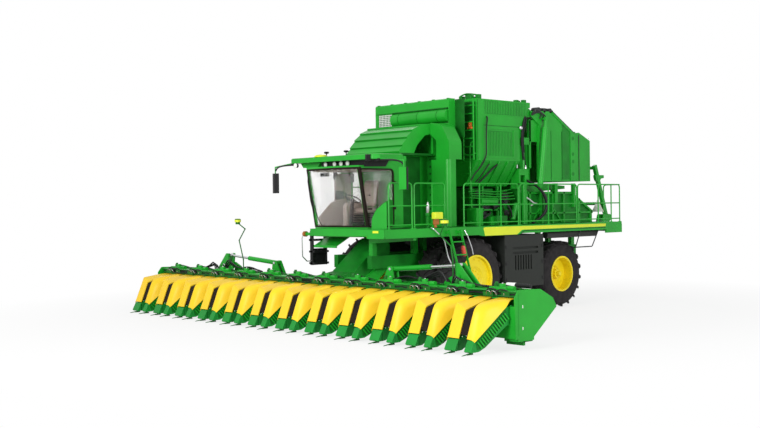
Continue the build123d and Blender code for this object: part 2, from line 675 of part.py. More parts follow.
def accumulator():
    """Crop chamber with the air drums over it and the tower and elbow that feed it."""
    main = block(-body_half, body_in_x, body_y0, link_y0, deck_top, upper_z0)
    link = block(-body_half + 100, 700, link_y0, builder_y0, deck_top, body_top_z - 60)
    upper = across([(upper_y0, upper_z0 - 100), (upper_y0, body_top_z, 60), (link_y0 + 20, body_top_z),
                    (link_y0 + 20, upper_z0 - 100)], -body_half, body_in_x + 20)
    low, high = body_top_z - 600, body_top_z - 220
    recess = block(drum_rows[0][0] - 20, drum_rows[-1][1] + 20, upper_y0 - 10, upper_y0 + 110, low, high)
    drum_y, drum_z = upper_y0 + 60, (low + high) / 2
    drums = [rod((x0, drum_y, drum_z), (x1, drum_y, drum_z), drum_r) for x0, x1 in drum_rows]
    tower = upright([(890, body_y0 + 20), (890, tower_y0, 70), (body_half, tower_y0, 110),
                     (body_half, body_y0 + 20)],
                    deck_top, tower_top_z)
    elbow = along([(body_in_x, tower_top_z), (body_half, tower_top_z), (body_half, 4210, 300),
                   (1240, 4640, 200),
                   (900, 4680), (900, 4400), (body_in_x, 4260, 110)], tower_y0 + 20, upper_y0)
    add("accumulator", fuse([main, link, upper - recess, tower, elbow] + drums))


def builder():
    """Module builder body, the hopper under it and the gate's hinge lugs."""
    body = across([(builder_y0, builder_z0), (builder_y0, body_top_z), (builder_y1, body_top_z),
                   (builder_y1, step_z), (builder_back_y, step_z), (builder_low_y, builder_slope_z),
                   (builder_low_y, builder_z0)], -body_half, body_half)
    trims = []
    for y in (panel_y0, panel_y1 - 60):
        trims += both(block(body_half, body_half + 14, y, y + 60, builder_z0 + 60, builder_slope_z))
    for z in (builder_z0 + 60, builder_slope_z):
        trims += both(block(body_half, body_half + 14, panel_y0, panel_y1, z, z + 50))
    hopper = along([(-body_half, builder_z0), (body_half, builder_z0),
                    (body_half - hopper_narrow, hopper_z0),
                    (-body_half + hopper_narrow, hopper_z0)], builder_y0, builder_low_y)
    ribs = []
    for i in range(5):
        y = builder_y0 + 140 + 330 * i
        ribs += both(along([(body_half, builder_z0), (body_half - hopper_narrow, hopper_z0),
                            (body_half - hopper_narrow + 40, hopper_z0),
                            (body_half, builder_z0 - 60)], y, y + 40))
    lugs = []
    for s in (1, -1):
        x0, x1 = sorted((s * (gate_half - 110), s * (gate_half - 50)))
        lugs.append(across([(builder_back_y - 150, gate_hinge_z - 120), (builder_back_y, step_z),
                            (builder_y1, step_z),
                            (gate_hinge_y + 50, gate_hinge_z + 60, 40),
                            (gate_hinge_y + 50, gate_hinge_z - 60, 40)],
                           x0, x1))
        lugs.append(rod((s * (gate_half - 110), gate_hinge_y, gate_hinge_z),
                        (s * (gate_half + 5), gate_hinge_y, gate_hinge_z), 30))
    add("module_builder", fuse([body, hopper] + trims + ribs + lugs))
    cheeks = []
    for s in (1, -1):
        x0, x1 = sorted((s * (gate_half - 300), s * (gate_half - 260)))
        cheeks.append(across([(builder_low_y, 3100), (builder_low_y, builder_slope_z),
                              (builder_back_y, step_z), (7160, step_z), (7200, step_z - 460),
                              (7390, step_z - 760), (7420, 3100)], x0, x1))
        x0, x1 = sorted((s * (gate_half - 260), s * (gate_half - 40)))
        cheeks.append(block(x0, x1, 6900, 7150, 4220, 4400))
        case = block(x0, x1, builder_low_y + 20, 7080, 3230, 3600)
        cheeks.append(case - block(min(x0, x1) - 10, max(x0, x1) + 10, builder_low_y + 80,
                                   builder_low_y + 260,
                                   3260, 3440))
        cheeks.append(block(*sorted((s * (gate_half - 120), s * (gate_half - 40))), 6900, 7000, deck_top,
                            3230))
    floor = across([(7045, deck_top), (7045, 3280), (9000, 3180), (9000, 3100), (7420, 3000),
                    (7420, deck_top)],
                   -body_half + 350, body_half - 350)
    add("builder_frame", fuse([floor] + cheeks))


def side_boxes():
    """Grey boxes between the wheels with louvres and a grille, and the tank tube under the rear deck."""
    box = block(rail_out_x, box_out_x, box_y0, box_y1, box_z0, box_z1)
    for z in (1480, 1600):
        box = box - block(box_out_x - 40, box_out_x + 10, 5760, 6740, z, z + 55)
    for i in range(7):
        y = 5840 + 100 * i
        box = box - block(box_out_x - 40, box_out_x + 10, y, y + 45, 1090, 1450)
    tube = rod((1900, 7150, 1915), (1900, 9300, 1915), 92)
    straps = [block(1860, 1940, y, y + 60, 1960, deck_top - deck_thick) for y in (7300, 8200, 9150)]
    add("side_boxes", both(box), both(fuse([tube] + straps)))


def bodywork():
    louvred_hood()
    accumulator()
    builder()
    engine = block(engine_x0, engine_x1, engine_y0, engine_y1, deck_top, hopper_z0 - 60)
    pulleys = [rod((engine_x1, y, z), (engine_x1 + 60, y, z), r) for y, z, r in engine_pulleys]
    add("engine", engine.fuse(*pulleys))
    gearbox = across([(6320, deck_top), (6320, 2980, 80), (6560, 3080, 60), (6620, 3080), (6640, deck_top)],
                     500, 1120)
    add("engine", gearbox.fuse(*[rod((1120, y, z), (1190, y, z), r) for y, z, r in gearbox_pulleys]))
    add("engine", block(1280, 1500, 5760, 6160, deck_top + 90, deck_top + 230).fuse(
        *[block(1280, 1500, y, y + 40, deck_top, deck_top + 90) for y in (5780, 6100)]))
    add("cooling_box", block(-body_half + 50, -body_half + 800, 5300, 6880, deck_top, hopper_z0 - 70))
    side_boxes()


def gate():
    top = gate_hinge_z
    panel = [(7560, gate_low_z), (7420, top - 420), (7600, top + gate_crown),
             (gate_crown_y, top + gate_crown),
             (gate_break_y, top - gate_break), (9200, top - gate_break + 30), (gate_back_y, top - 620),
             (gate_back_y, gate_low_z + 20)]
    shell = across(panel, -gate_half, gate_half)
    hollow = across([(7000, gate_low_z - 80), (7000, top - 460), (7660, top + 30),
                     (gate_crown_y - 10, top + 30),
                     (gate_break_y - 20, top - gate_break - 60), (9200, top - gate_break - 30),
                     (gate_back_y - 60, top - 660), (gate_back_y - 60, gate_low_z - 80)],
                    -gate_half + 60, gate_half - 60)
    shell = shell - hollow
    hinge = []
    for s in (1, -1):
        x0, x1 = sorted((s * (gate_half - 40), s * gate_half))
        ear = across([(gate_hinge_y - 70, gate_hinge_z - 60, 30), (gate_hinge_y - 70, gate_hinge_z + 70, 30),
                      (7700, top + gate_crown), (7560, top - 320)], x0, x1)
        hinge.append(ear)
    rims = []
    for s in (1, -1):
        x0, x1 = sorted((s * (gate_half - 10), s * (gate_half + 18)))
        rims.append(across([(gate_crown_y, top + gate_crown), (gate_break_y, top - gate_break),
                            (gate_break_y - 30, top - gate_break - 60),
                            (gate_crown_y - 30, top + 30)], x0, x1))
        rims.append(block(x0, x1, gate_strip_y, gate_strip_y + 220, gate_low_z + 30, top - 400))
    shell = fuse([shell] + hinge + rims)
    for z in gate_holes:
        y = gate_strip_y + 110
        shell = shell - rod((-body_half - 60, y, z), (body_half + 60, y, z), 36)
    bore = rod((-body_half - 60, gate_hinge_y, gate_hinge_z), (body_half + 60, gate_hinge_y, gate_hinge_z),
               30 + seat)
    add("builder_gate", shell - bore)


def handler():
    beams = []
    for s in (1, -1):
        beams.append(beam((s * handler_half, handler_pivot_y, handler_pivot_z),
                          (s * handler_half, handler_pivot_y - handler_lean,
                           handler_pivot_z + handler_rise), 90, 110))
        beams.append(rod((s * handler_half - 70, handler_pivot_y, handler_pivot_z),
                         (s * handler_half + 70, handler_pivot_y, handler_pivot_z), 70))
    for s in (1, -1):
        x0, x1 = sorted((s * handler_half - 40, s * handler_half + 40))
        beams.append(across([(10200, 3340), (10150, 3480, 30), (10560, 3480, 20), (10560, 3400, 20),
                             (10420, 3380, 40),
                             (10330, 3240)], x0, x1))
    cross = []
    for t in (0.25, 0.95):
        y, z = handler_pivot_y - handler_lean * t, handler_pivot_z + handler_rise * t
        cross.append(rod((-handler_half, y, z), (handler_half, y, z), 45))
    add("module_handler", fuse(beams + cross))
    brackets = []
    for s in (1, -1):
        for x in (s * handler_half - 110, s * handler_half + 90):
            brackets.append(across([(rail_y1, deck_top - deck_thick), (deck_end_y, deck_top - deck_thick),
                                    (deck_end_y + 80, handler_pivot_z + 60, 50),
                                    (handler_pivot_y + 90, handler_pivot_z + 60, 60),
                                    (handler_pivot_y + 90, handler_pivot_z - 90, 60),
                                    (rail_y1 + 210, deck_top - deck_thick - 200),
                                    (rail_y1, deck_top - deck_thick - 200)], x, x + 20))
        brackets.append(rod((s * handler_half - 112, handler_pivot_y, handler_pivot_z),
                            (s * handler_half + 112, handler_pivot_y, handler_pivot_z), 30))
    rear = block(-deck_out_x + 140, deck_out_x - 140, rail_y1, rail_y1 + 190, deck_top - 260,
                 deck_top - deck_thick)
    add("handler_mount", fuse(brackets + [rear]))
    nodes["module_handler"] = [nodes["module_handler"][0] - rod(
        (-1500, handler_pivot_y, handler_pivot_z), (1500, handler_pivot_y, handler_pivot_z), 30 + seat)]


def gate_cylinders():
    x = body_half + 90
    base = Vector(x, gate_foot_y, gate_foot_z)
    eye = Vector(x, gate_eye_y, gate_eye_z)
    run = eye - base
    unit = run.normalized()
    top = base + unit * (run.length - gate_rod_show)
    foot = rod((x - 30, base.Y, base.Z), (x + 30, base.Y, base.Z), 80)
    barrel = rod(base, top, 75).fuse(foot) - rod((x - 90, base.Y, base.Z), (x + 90, base.Y, base.Z),
                                                 30 + seat)
    barrel = barrel - rod(base + unit * 120, top + unit * 5, 40 + seat)
    shaft = rod(base + unit * 160, eye - unit * 30, 40)
    shaft = shaft.fuse(rod((x - 30, eye.Y, eye.Z), (x + 30, eye.Y, eye.Z), 60))
    add("gate_barrel_left", barrel)
    add("gate_barrel_right", mirrored(barrel))
    add("gate_rod_left", shaft)
    add("gate_rod_right", mirrored(shaft))
    upper_pins = both(rod((gate_half - 10, eye.Y, eye.Z), (x - 30 - eye_gap, eye.Y, eye.Z), 28))
    foot_pins = both(rod((body_half - 380, base.Y, base.Z), (x + 34, base.Y, base.Z), 30))
    nodes["builder_gate"] = [nodes["builder_gate"][0].fuse(*upper_pins)]
    nodes["builder_frame"] = [nodes["builder_frame"][0].fuse(*foot_pins)]


# Header


def row_x(section):
    """Row middles of a header section: centre, left or right."""
    if section == "centre":
        return [(i - (rows_centre - 1) / 2) * row_pitch for i in range(rows_centre)]
    sign = 1 if section == "left" else -1
    return [sign * (rows_centre / 2 + 0.5 + i) * row_pitch for i in range(rows_wing)]


def flared_plan(x, side, y0, y1, z0, z1):
    """Plan of one side of a row: the slot's wall, a narrow nose and a flare to the rear."""
    return upright([(x + side * slot_half, y0), (x + side * hood_nose, y0), (x + side * hood_nose, 0),
                    (x + side * hood_half, flare_y), (x + side * hood_half, y1),
                    (x + side * slot_half, y1)], z0, z1)


def hood_half_shape(x, side):
    """One yellow hood: a narrow snout that widens to the rear, with its outer edge rounded all along."""
    points = [(0, shoe_top_z), (hood_knee_y, hood_knee_z, 90), (hood_rear_y, hood_rear_z),
              (hood_rear_y, hood_rear_z - 60), (slope_y, shelf_z + 2), (60, shoe_top_z)]
    form = across(points, x - hood_half, x + hood_half)
    form = form & flared_plan(x, side, -10, hood_rear_y + 10, shoe_top_z - 10, hood_rear_z + 10)
    return fillet([e for e in form.edges() if on_rounding(e, x)], hood_round)


def on_rounding(edge, x):
    """Whether an edge of a hood runs along its outer side on the front, knee or top."""
    m = edge.position_at(0.5)
    outer = hood_nose + (hood_half - hood_nose) * min(m.Y / flare_y, 1)
    behind = m.Y - hood_knee_y * (m.Z - shoe_top_z) / (hood_knee_z - shoe_top_z)
    slope = (hood_rear_z - hood_knee_z) / (hood_rear_y - hood_knee_y)
    below = hood_knee_z + slope * (m.Y - hood_knee_y) - m.Z
    return abs(m.X - x) > outer - 2 and min(behind, below) < 15


def row_unit_base(x):
    """Green shoes with skid points under one row's hoods, their bottom rising to the rear."""
    pieces = []
    for side in (1, -1):
        shoe = across([(-30, shoe_low_z), (0, shoe_top_z - 1), (60, shoe_top_z - 1),
                       (slope_y, shelf_z), (trough_y0, shelf_z), (trough_y0, 430), (210, shoe_low_z)],
                      x - hood_half, x + hood_half)
        shoe = shoe & flared_plan(x, side, -100, trough_y0 + 10, 0, 900)
        xm = x + side * (slot_half + hood_nose) / 2
        skid = across([(-260, shoe_low_z - 22), (-20, shoe_low_z + 30), (200, shoe_low_z + 30),
                       (200, shoe_low_z - 22)], xm - 30, xm + 30)
        pieces.append(shoe.fuse(skid))
    return pieces


def slot_curtain(x):
    deep = 15
    return across([(40 + deep, shoe_low_z + 60), (deep, shoe_top_z),
                   (hood_knee_y + deep, hood_knee_z - deep, 90),
                   (hood_rear_y - 5, hood_rear_z - deep), (hood_rear_y - 5, hood_rear_z - 100),
                   (trough_y0 - seat, shelf_z + 7), (trough_y0 - seat, shoe_low_z + 460),
                   (260, shoe_low_z + 60)],
                  x - slot_half + seat, x + slot_half - seat)


def gearcase(x):
    """Drive of one row on the trough's front edge: a case with two round motor caps."""
    y0, y1, top = trough_y0 + 155, trough_y0 + 430, trough_z1 + 60
    case = along([(x - 230, trough_z1 - 4), (x - 190, top, 25), (x + 150, top, 25),
                  (x + 190, trough_z1 - 4)], y0, y1)
    caps = [rod((x + 40, y0 + 110, top - 5), (x + 40, y0 + 110, top + 55), 62),
            rod((x + 170, y0 + 130, trough_z1 + 30), (x + 310, y0 + 130, trough_z1 + 30), 48)]
    return [case] + caps


def header_section(section):
    """Trough, gearcases and row units of one section."""
    rows = row_x(section)
    if section == "centre":
        x0, x1 = -fold_x + fold_gap, fold_x - fold_gap
    elif section == "left":
        x0, x1 = fold_x + fold_gap, wing_end_x
    else:
        x0, x1 = -wing_end_x, -fold_x - fold_gap
    trough = across([(hood_rear_y + 10, trough_z1, 20), (hood_rear_y + 10, shelf_z), (trough_y0, shelf_z),
                     (trough_y0, 244), (1310, 250), (trough_y1, 760), (1890, 930, 60),
                     (1520, trough_z1, 60)], x0, x1)
    pieces = [trough]
    bases = []
    for x in rows:
        bases += row_unit_base(x)
        pieces += gearcase(x)
    if section != "centre":
        s = 1 if section == "left" else -1
        a, b = sorted((s * wing_end_x, s * (wing_end_x + end_plate)))
        pieces.append(across([(770, 1000), (880, 1140, 60), (1520, 1120, 60), (1900, 935, 60), (2010, 760),
                              (1310, 240), (790, 234)], a, b))
        foot = sorted((s * (wing_end_x - 190), s * (wing_end_x + end_plate)))
        pieces.append(block(*foot, 860, 1320, 190, 250))
    add("header_" + section, fuse(pieces))
    hoods = []
    for x in rows:
        for side in (1, -1):
            hoods.append(hood_half_shape(x, side))
    add("hoods_" + section, hoods)
    add("row_bases_" + section, bases)
    add("curtains_" + section, [slot_curtain(x) for x in rows])


def folding():
    """Hinge towers, fold cylinders and the feeder on the centre section."""
    y = fold_y
    base_lugs = []
    anchors = []
    for s in (1, -1):
        for yy in (y - 160, y + 120):
            x0, x1 = s * (fold_x - 420), s * fold_x
            points = [(x0, trough_z1 - 80), (x0 + s * 120, trough_z1 + 90), (x1 - s * 60, fold_z + 70),
                      (x1 + s * 60, fold_z + 70, 40), (x1 + s * 60, fold_z - 70, 40),
                      (x1 - s * 40, fold_z - 90),
                      (x1 - s * 40, trough_z1 - 200), (x0, trough_z1 - 200)]
            base_lugs.append(along(points, yy, yy + 40))
        for yy in (y - 90, y + 60):
            x0 = s * fold_anchor_x
            anchors.append(along([(x0 - s * 260, trough_z1 - 60), (x0 - s * 60, 1400, 40),
                                  (x0 + s * 60, 1400, 40),
                                  (x0 + s * 120, trough_z1 - 60)], yy, yy + 30))
        base_lugs.append(rod((s * fold_x, y - 170, fold_z), (s * fold_x, y + 170, fold_z), 30))
        anchors.append(rod((s * fold_anchor_x, y - 95, fold_anchor_z),
                           (s * fold_anchor_x, y + 95, fold_anchor_z), 24))
    duct = across([(1750, 560), (trough_y1 - 600, trough_z1 - 20), (2000, 1180), (2950, 1930), (3150, 1800),
                   (3150, 1500), (2050, 560)], -380, 380)
    arms = both(across([(1850, 500), (1850, 800), (lift_pivot_y - 120, lift_pivot_z + 60, 60),
                        (lift_pivot_y + 70, lift_pivot_z + 60, 60),
                        (lift_pivot_y + 70, lift_pivot_z - 70, 60),
                        (lift_pivot_y - 60, lift_pivot_z - 70, 60), (2050, 500)], 380, 480))
    pins = both(rod((380, lift_pivot_y, lift_pivot_z), (rail_in_x + 30, lift_pivot_y, lift_pivot_z), 35))
    trough = nodes["header_centre"][0]
    add("fold_towers", [solid - trough for solid in fuse(base_lugs + anchors).solids()])
    add("crop_duct", duct - trough)
    nodes["header_centre"] = [trough.fuse(*(arms + pins))]
    lamps = []
    for route in lamp_stalks:
        front = y - 200
        points = [(x, front, z) for x, z in route]
        stalk = [rod((points[0][0], front, trough_z1), (points[0][0], front, trough_z1 + 30), 30)]
        stalk += [rod(a, b, 14) for a, b in zip(points, points[1:])]
        stalk += [Pos(*p) * Sphere(18) for p in points[1:]]
        x, top = points[-1][0], points[-1][2]
        cap = rod((x, front, top + 20), (x, front, top + 105), 78)
        cap = fillet(cap.faces().sort_by(Axis.Z)[-1].edges(), 30)
        lamps.append(fuse(stalk + [rod((x, front, top - 35), (x, front, top + 22), 58), cap]))
    add("header_lamps", lamps)
    for s, side in ((1, "left"), (-1, "right")):
        horn_x, horn_z = fold_x - horn_in, fold_z + horn_up
        horn = []
        for yy in (y - 110, y + 70):
            horn.append(along([(s * (horn_x - 50), horn_z + 50, 30), (s * (horn_x + 60), horn_z + 50, 30),
                               (s * (fold_x + 420), trough_z1 - 20), (s * (fold_x + 420), trough_z1 - 120),
                               (s * (fold_x + 60), trough_z1 - 120), (s * (fold_x - 60), fold_z - 50, 30)],
                              yy, yy + 40))
        pin = [rod((s * horn_x, y + t * 115, horn_z), (s * horn_x, y + t * (50 + eye_gap), horn_z), 24)
               for t in (1, -1)]
        bore = rod((s * fold_x, y - 300, fold_z), (s * fold_x, y + 300, fold_z), 30 + seat)
        wing = nodes["header_" + side][0].fuse(*(horn + pin)) - bore
        nodes["header_" + side] = [wing]
        a = Vector(s * fold_anchor_x, y, fold_anchor_z)
        b = Vector(s * horn_x, y, horn_z)
        unit = (b - a).normalized()
        barrel = rod(tuple(a), tuple(a + unit * 1150), 55)
        barrel = barrel.fuse(rod((a.X, y - 50, a.Z), (a.X, y + 50, a.Z), 60))
        barrel = barrel - rod((a.X, y - 80, a.Z), (a.X, y + 80, a.Z), 24 + seat)
        barrel = barrel - rod(tuple(a + unit * 120), tuple(a + unit * 1160), 30 + seat)
        shaft = rod(tuple(a + unit * 700), tuple(b - unit * 30), 30)
        shaft = shaft.fuse(rod((b.X, y - 50, b.Z), (b.X, y + 50, b.Z), 50))
        add("fold_barrel_" + side, barrel)
        add("fold_rod_" + side, shaft)


front_wheels()
rear_wheels()
rear_knuckles()
frame()
platforms()
handrails()
add("ladder", fuse(ladder()), hanging_step())
cab()
cab_fittings()
bodywork()
gate()
handler()
gate_cylinders()
for section in ("centre", "left", "right"):
    header_section(section)
folding()

for name, pieces in nodes.items():
    solids = []
    for piece in pieces:
        solids += piece.solids()
    moved = [Pos(0, -centre_y, 0) * solid for solid in solids]
    shape = moved[0] if len(moved) == 1 else Compound(children=moved)
    export_step(shape, "parts/" + name + ".step")
print(len(nodes), "nodes")
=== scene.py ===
import math

import bmesh
import bpy
from mathutils import Matrix, Vector


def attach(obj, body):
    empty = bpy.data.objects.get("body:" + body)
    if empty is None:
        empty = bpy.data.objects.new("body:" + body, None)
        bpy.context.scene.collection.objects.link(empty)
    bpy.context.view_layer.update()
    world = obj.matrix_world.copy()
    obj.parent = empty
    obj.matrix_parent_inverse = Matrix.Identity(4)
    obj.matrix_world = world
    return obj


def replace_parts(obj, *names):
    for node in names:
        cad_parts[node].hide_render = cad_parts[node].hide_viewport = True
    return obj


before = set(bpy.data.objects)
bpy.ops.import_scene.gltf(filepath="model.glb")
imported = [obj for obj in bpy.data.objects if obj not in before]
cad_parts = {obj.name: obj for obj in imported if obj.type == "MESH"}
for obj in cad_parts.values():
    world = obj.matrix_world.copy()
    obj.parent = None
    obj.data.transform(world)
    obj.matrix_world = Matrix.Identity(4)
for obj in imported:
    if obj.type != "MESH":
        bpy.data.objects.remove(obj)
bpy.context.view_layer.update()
scene = bpy.context.scene
scene.view_settings.view_transform = "Standard"

# Places are x, station and height. Stations run back from the front of the row shoes, and toFrame moves
# a finished mesh from them into the frame.
layout = {"stationZero": -5.26, "rowPitch": 1.016, "rows": 12, "foldX": 4.064}
toFrame = Matrix.Translation((0, layout["stationZero"], 0))


# Camera at the photo's place
camera = {"place": (18.262, -13.921, 2.730), "yaw": 46.838, "pitch": 0.504, "roll": 0.753,
          "lens": 49.20, "film": 36}


def addCamera():
    yaw, pitch, roll = (math.radians(camera[k]) for k in ("yaw", "pitch", "roll"))
    forward = Vector((-math.sin(yaw) * math.cos(pitch), math.cos(yaw) * math.cos(pitch), -math.sin(pitch)))
    right = Vector((math.cos(yaw), math.sin(yaw), 0))
    down = forward.cross(right)
    side = right * math.cos(roll) + down * math.sin(roll)
    below = down * math.cos(roll) - right * math.sin(roll)
    turn = Matrix((side, -below, -forward)).transposed().to_4x4()
    data = bpy.data.cameras.new("camera")
    data.lens = camera["lens"]
    data.sensor_width = camera["film"]
    data.clip_end = 400
    obj = bpy.data.objects.new("camera", data)
    obj.matrix_world = toFrame @ Matrix.Translation(camera["place"]) @ turn
    scene.collection.objects.link(obj)
    scene.camera = obj


# Node trees: one node with its sockets filled or linked
def addNode(tree, kind, sockets=None, **settings):
    made = tree.nodes.new(kind)
    for key, value in settings.items():
        setattr(made, key, value)
    for socket, value in (sockets or {}).items():
        if isinstance(value, bpy.types.NodeSocket):
            tree.links.new(value, made.inputs[socket])
        else:
            made.inputs[socket].default_value = value
    return made


def emptyTree(owner):
    owner.use_nodes = True
    owner.node_tree.nodes.clear()
    return owner.node_tree


# Studio: white all round for the camera and in mirrors, soft light on the machine
studio = {"floor": 60.0, "world": 0.45, "near": 0.80, "nearEdge": 7.0, "farEdge": 13.0, "aim": (0, 4.0, 1.5)}
lamps = [
    # name, place, size, watts
    ("key", (6.0, -18.0, 8.0), 8.0, 3800),
    ("side", (20.0, 3.0, 7.0), 9.0, 1550),
    ("back", (-12.0, 18.0, 13.0), 9.0, 600),
    ("top", (0.0, 3.0, 18.0), 12.0, 280),
]
white = (1, 1, 1, 1)


def directOrMirrored(tree):
    path = addNode(tree, "ShaderNodeLightPath").outputs
    last = path["Is Camera Ray"]
    for ray in ("Is Glossy Ray", "Is Transmission Ray"):
        last = addNode(tree, "ShaderNodeMath", {0: last, 1: path[ray]}, operation="MAXIMUM").outputs[0]
    return last


def worldLight():
    scene.world = bpy.data.worlds.new("studioWorld")
    tree = emptyTree(scene.world)
    soft = addNode(tree, "ShaderNodeBackground", {"Color": white, "Strength": studio["world"]})
    seen = addNode(tree, "ShaderNodeBackground", {"Color": white, "Strength": 1.0})
    mix = addNode(tree, "ShaderNodeMixShader",
                  {0: directOrMirrored(tree), 1: soft.outputs[0], 2: seen.outputs[0]})
    addNode(tree, "ShaderNodeOutputWorld", {"Surface": mix.outputs[0]})


def paleFloor():
    mesh = bpy.data.meshes.new("floor")
    half = studio["floor"]
    corners = ((-half, -half), (half, -half), (half, half), (-half, half))
    mesh.from_pydata([(x, y, -0.002) for x, y in corners], [], [(0, 1, 2, 3)])
    floor = bpy.data.objects.new("floor", mesh)
    scene.collection.objects.link(floor)
    material = bpy.data.materials.new("floorPale")
    tree = emptyTree(material)
    matte = addNode(tree, "ShaderNodeBsdfDiffuse", {"Color": (0.8, 0.8, 0.8, 1)})
    glow = addNode(tree, "ShaderNodeEmission", {"Color": white})
    coords = addNode(tree, "ShaderNodeTexCoord").outputs["Object"]
    reach = addNode(tree, "ShaderNodeVectorMath", {0: coords}, operation="LENGTH").outputs["Value"]
    fade = addNode(tree, "ShaderNodeMapRange", {"Value": reach, "From Min": studio["nearEdge"], "To Max": 1.0,
                                                "From Max": studio["farEdge"], "To Min": studio["near"]})
    share = addNode(tree, "ShaderNodeMath", {0: directOrMirrored(tree), 1: fade.outputs["Result"]},
                    operation="MULTIPLY")
    mix = addNode(tree, "ShaderNodeMixShader", {0: share.outputs[0], 1: matte.outputs[0], 2: glow.outputs[0]})
    addNode(tree, "ShaderNodeOutputMaterial", {"Surface": mix.outputs[0]})
    mesh.materials.append(material)


def addStudio():
    worldLight()
    paleFloor()
    target = toFrame @ Vector(studio["aim"])
    for name, place, size, watts in lamps:
        data = bpy.data.lights.new(name, "AREA")
        data.shape = "DISK"
        data.size = size
        data.energy = watts
        obj = bpy.data.objects.new(name, data)
        obj.location = toFrame @ Vector(place)
        obj.rotation_euler = (target - obj.location).to_track_quat("-Z", "Y").to_euler()
        scene.collection.objects.link(obj)


addCamera()
addStudio()
print("camera and studio set")


# Materials
finishes = {
    # colour, roughness, gloss, variation, bump, grain, slot in the record
    "greenPaint": ((0.010, 0.315, 0.020), 0.36, 0.28, 0.13, 0.02, 3.0, "green_paint"),
    # The next three are the green paint darkened: painted shade for the shoes under the hoods, for recesses
    # and for parts under and inside the body. The darkest also serves for dark seams and joints.
    "shoeShadedGreen": ((0.010, 0.230, 0.030), 0.45, 0.20, 0.10, 0.03, 6.0, "green_paint"),
    "shadedGreen": ((0.006, 0.190, 0.014), 0.45, 0.20, 0.20, 0.05, 8.0, "green_paint"),
    "shadeAndSeamGreen": ((0.003, 0.110, 0.008), 0.45, 0.20, 0.25, 0.05, 9.0, "green_paint"),
    "hoodYellow": ((0.850, 0.560, 0.020), 0.40, 0.25, 0.04, 0.02, 4.0, "hood_yellow"),
    # The rim yellow is brighter than the hood yellow: painted light that lifts the rims out of the shade of
    # their recess.
    "rimLitYellow": ((0.900, 0.720, 0.014), 0.35, 0.35, 0.06, 0.02, 6.0, "rim_yellow"),
    "stripeYellow": ((0.640, 0.720, 0.030), 0.35, 0.30, 0.03, 0.01, 4.0, "hood_yellow"),
    "tyreRubber": ((0.022, 0.020, 0.021), 0.75, 0.18, 0.30, 0.12, 22.0, "tyre"),
    "blackRubber": ((0.011, 0.007, 0.005), 0.65, 0.12, 0.35, 0.25, 60.0, "black_rubber"),
    "blackPlastic": ((0.010, 0.010, 0.011), 0.45, 0.20, 0.15, 0.04, 40.0, "dark_steel"),
    "greyPanel": ((0.018, 0.021, 0.018), 0.55, 0.22, 0.12, 0.06, 30.0, "grey_panel"),
    "darkSteel": ((0.014, 0.018, 0.016), 0.45, 0.30, 0.20, 0.05, 12.0, "dark_steel"),
    "cabBeige": ((0.330, 0.262, 0.225), 0.75, 0.20, 0.10, 0.10, 40.0, "cab_interior"),
    "seatCloth": ((0.300, 0.230, 0.200), 0.90, 0.10, 0.15, 0.30, 90.0, "cab_interior"),
    "whitePlastic": ((0.780, 0.780, 0.760), 0.40, 0.40, 0.04, 0.02, 20.0, "cab_interior"),
    "lampAmber": ((0.720, 0.150, 0.020), 0.25, 0.50, 0.08, 0.05, 50.0, "hood_yellow"),
    "bracketBrown": ((0.330, 0.110, 0.020), 0.45, 0.30, 0.15, 0.05, 20.0, "hood_yellow"),
    "lampRed": ((0.560, 0.060, 0.040), 0.30, 0.50, 0.08, 0.05, 50.0, "hood_yellow"),
    "brightSteel": ((0.62, 0.62, 0.64), 0.28, 0.50, 0.08, 0.03, 20.0, "bright_rod"),
    "dullSteel": ((0.42, 0.43, 0.42), 0.42, 0.50, 0.08, 0.03, 20.0, "bright_rod"),
}
glassPane = {"tint": (0.96, 0.94, 0.92, 1), "rough": 0.03, "index": 1.45, "alpha": 0.16}


def surface(name, color, rough, gloss, vary, bump, scale, slot):
    material = bpy.data.materials.new(name)
    material.use_nodes = True
    tree = material.node_tree
    shader = tree.nodes["Principled BSDF"]
    coords = addNode(tree, "ShaderNodeTexCoord").outputs["Object"]
    broad = addNode(tree, "ShaderNodeTexNoise",
                    {"Vector": coords, "Scale": scale * 0.35, "Detail": 6}).outputs["Fac"]
    ramp = addNode(tree, "ShaderNodeValToRGB", {"Fac": broad})
    for stop, place, share in zip(ramp.color_ramp.elements, (0.32, 0.68), (1 - vary, 1 + vary)):
        stop.position = place
        stop.color = (*(c * share for c in color), 1)
    tree.links.new(ramp.outputs["Color"], shader.inputs["Base Color"])
    wear = addNode(tree, "ShaderNodeMapRange",
                   {"Value": broad, "To Min": rough - 0.06, "To Max": rough + 0.08})
    tree.links.new(wear.outputs["Result"], shader.inputs["Roughness"])
    fine = addNode(tree, "ShaderNodeTexNoise",
                   {"Vector": coords, "Scale": scale * 6, "Detail": 4}).outputs["Fac"]
    relief = addNode(tree, "ShaderNodeBump", {"Height": fine, "Strength": bump, "Distance": 0.01})
    tree.links.new(relief.outputs["Normal"], shader.inputs["Normal"])
    shader.inputs["Specular IOR Level"].default_value = gloss
    shader.inputs["Metallic"].default_value = 1.0 if slot == "bright_rod" else 0.0
    return material


def glassSurface():
    material = bpy.data.materials.new("glass")
    material.use_nodes = True
    shader = material.node_tree.nodes["Principled BSDF"]
    for socket, key in (("Base Color", "tint"), ("Roughness", "rough"), ("IOR", "index"), ("Alpha", "alpha")):
        shader.inputs[socket].default_value = glassPane[key]
    shader.inputs["Transmission Weight"].default_value = 1.0
    return material


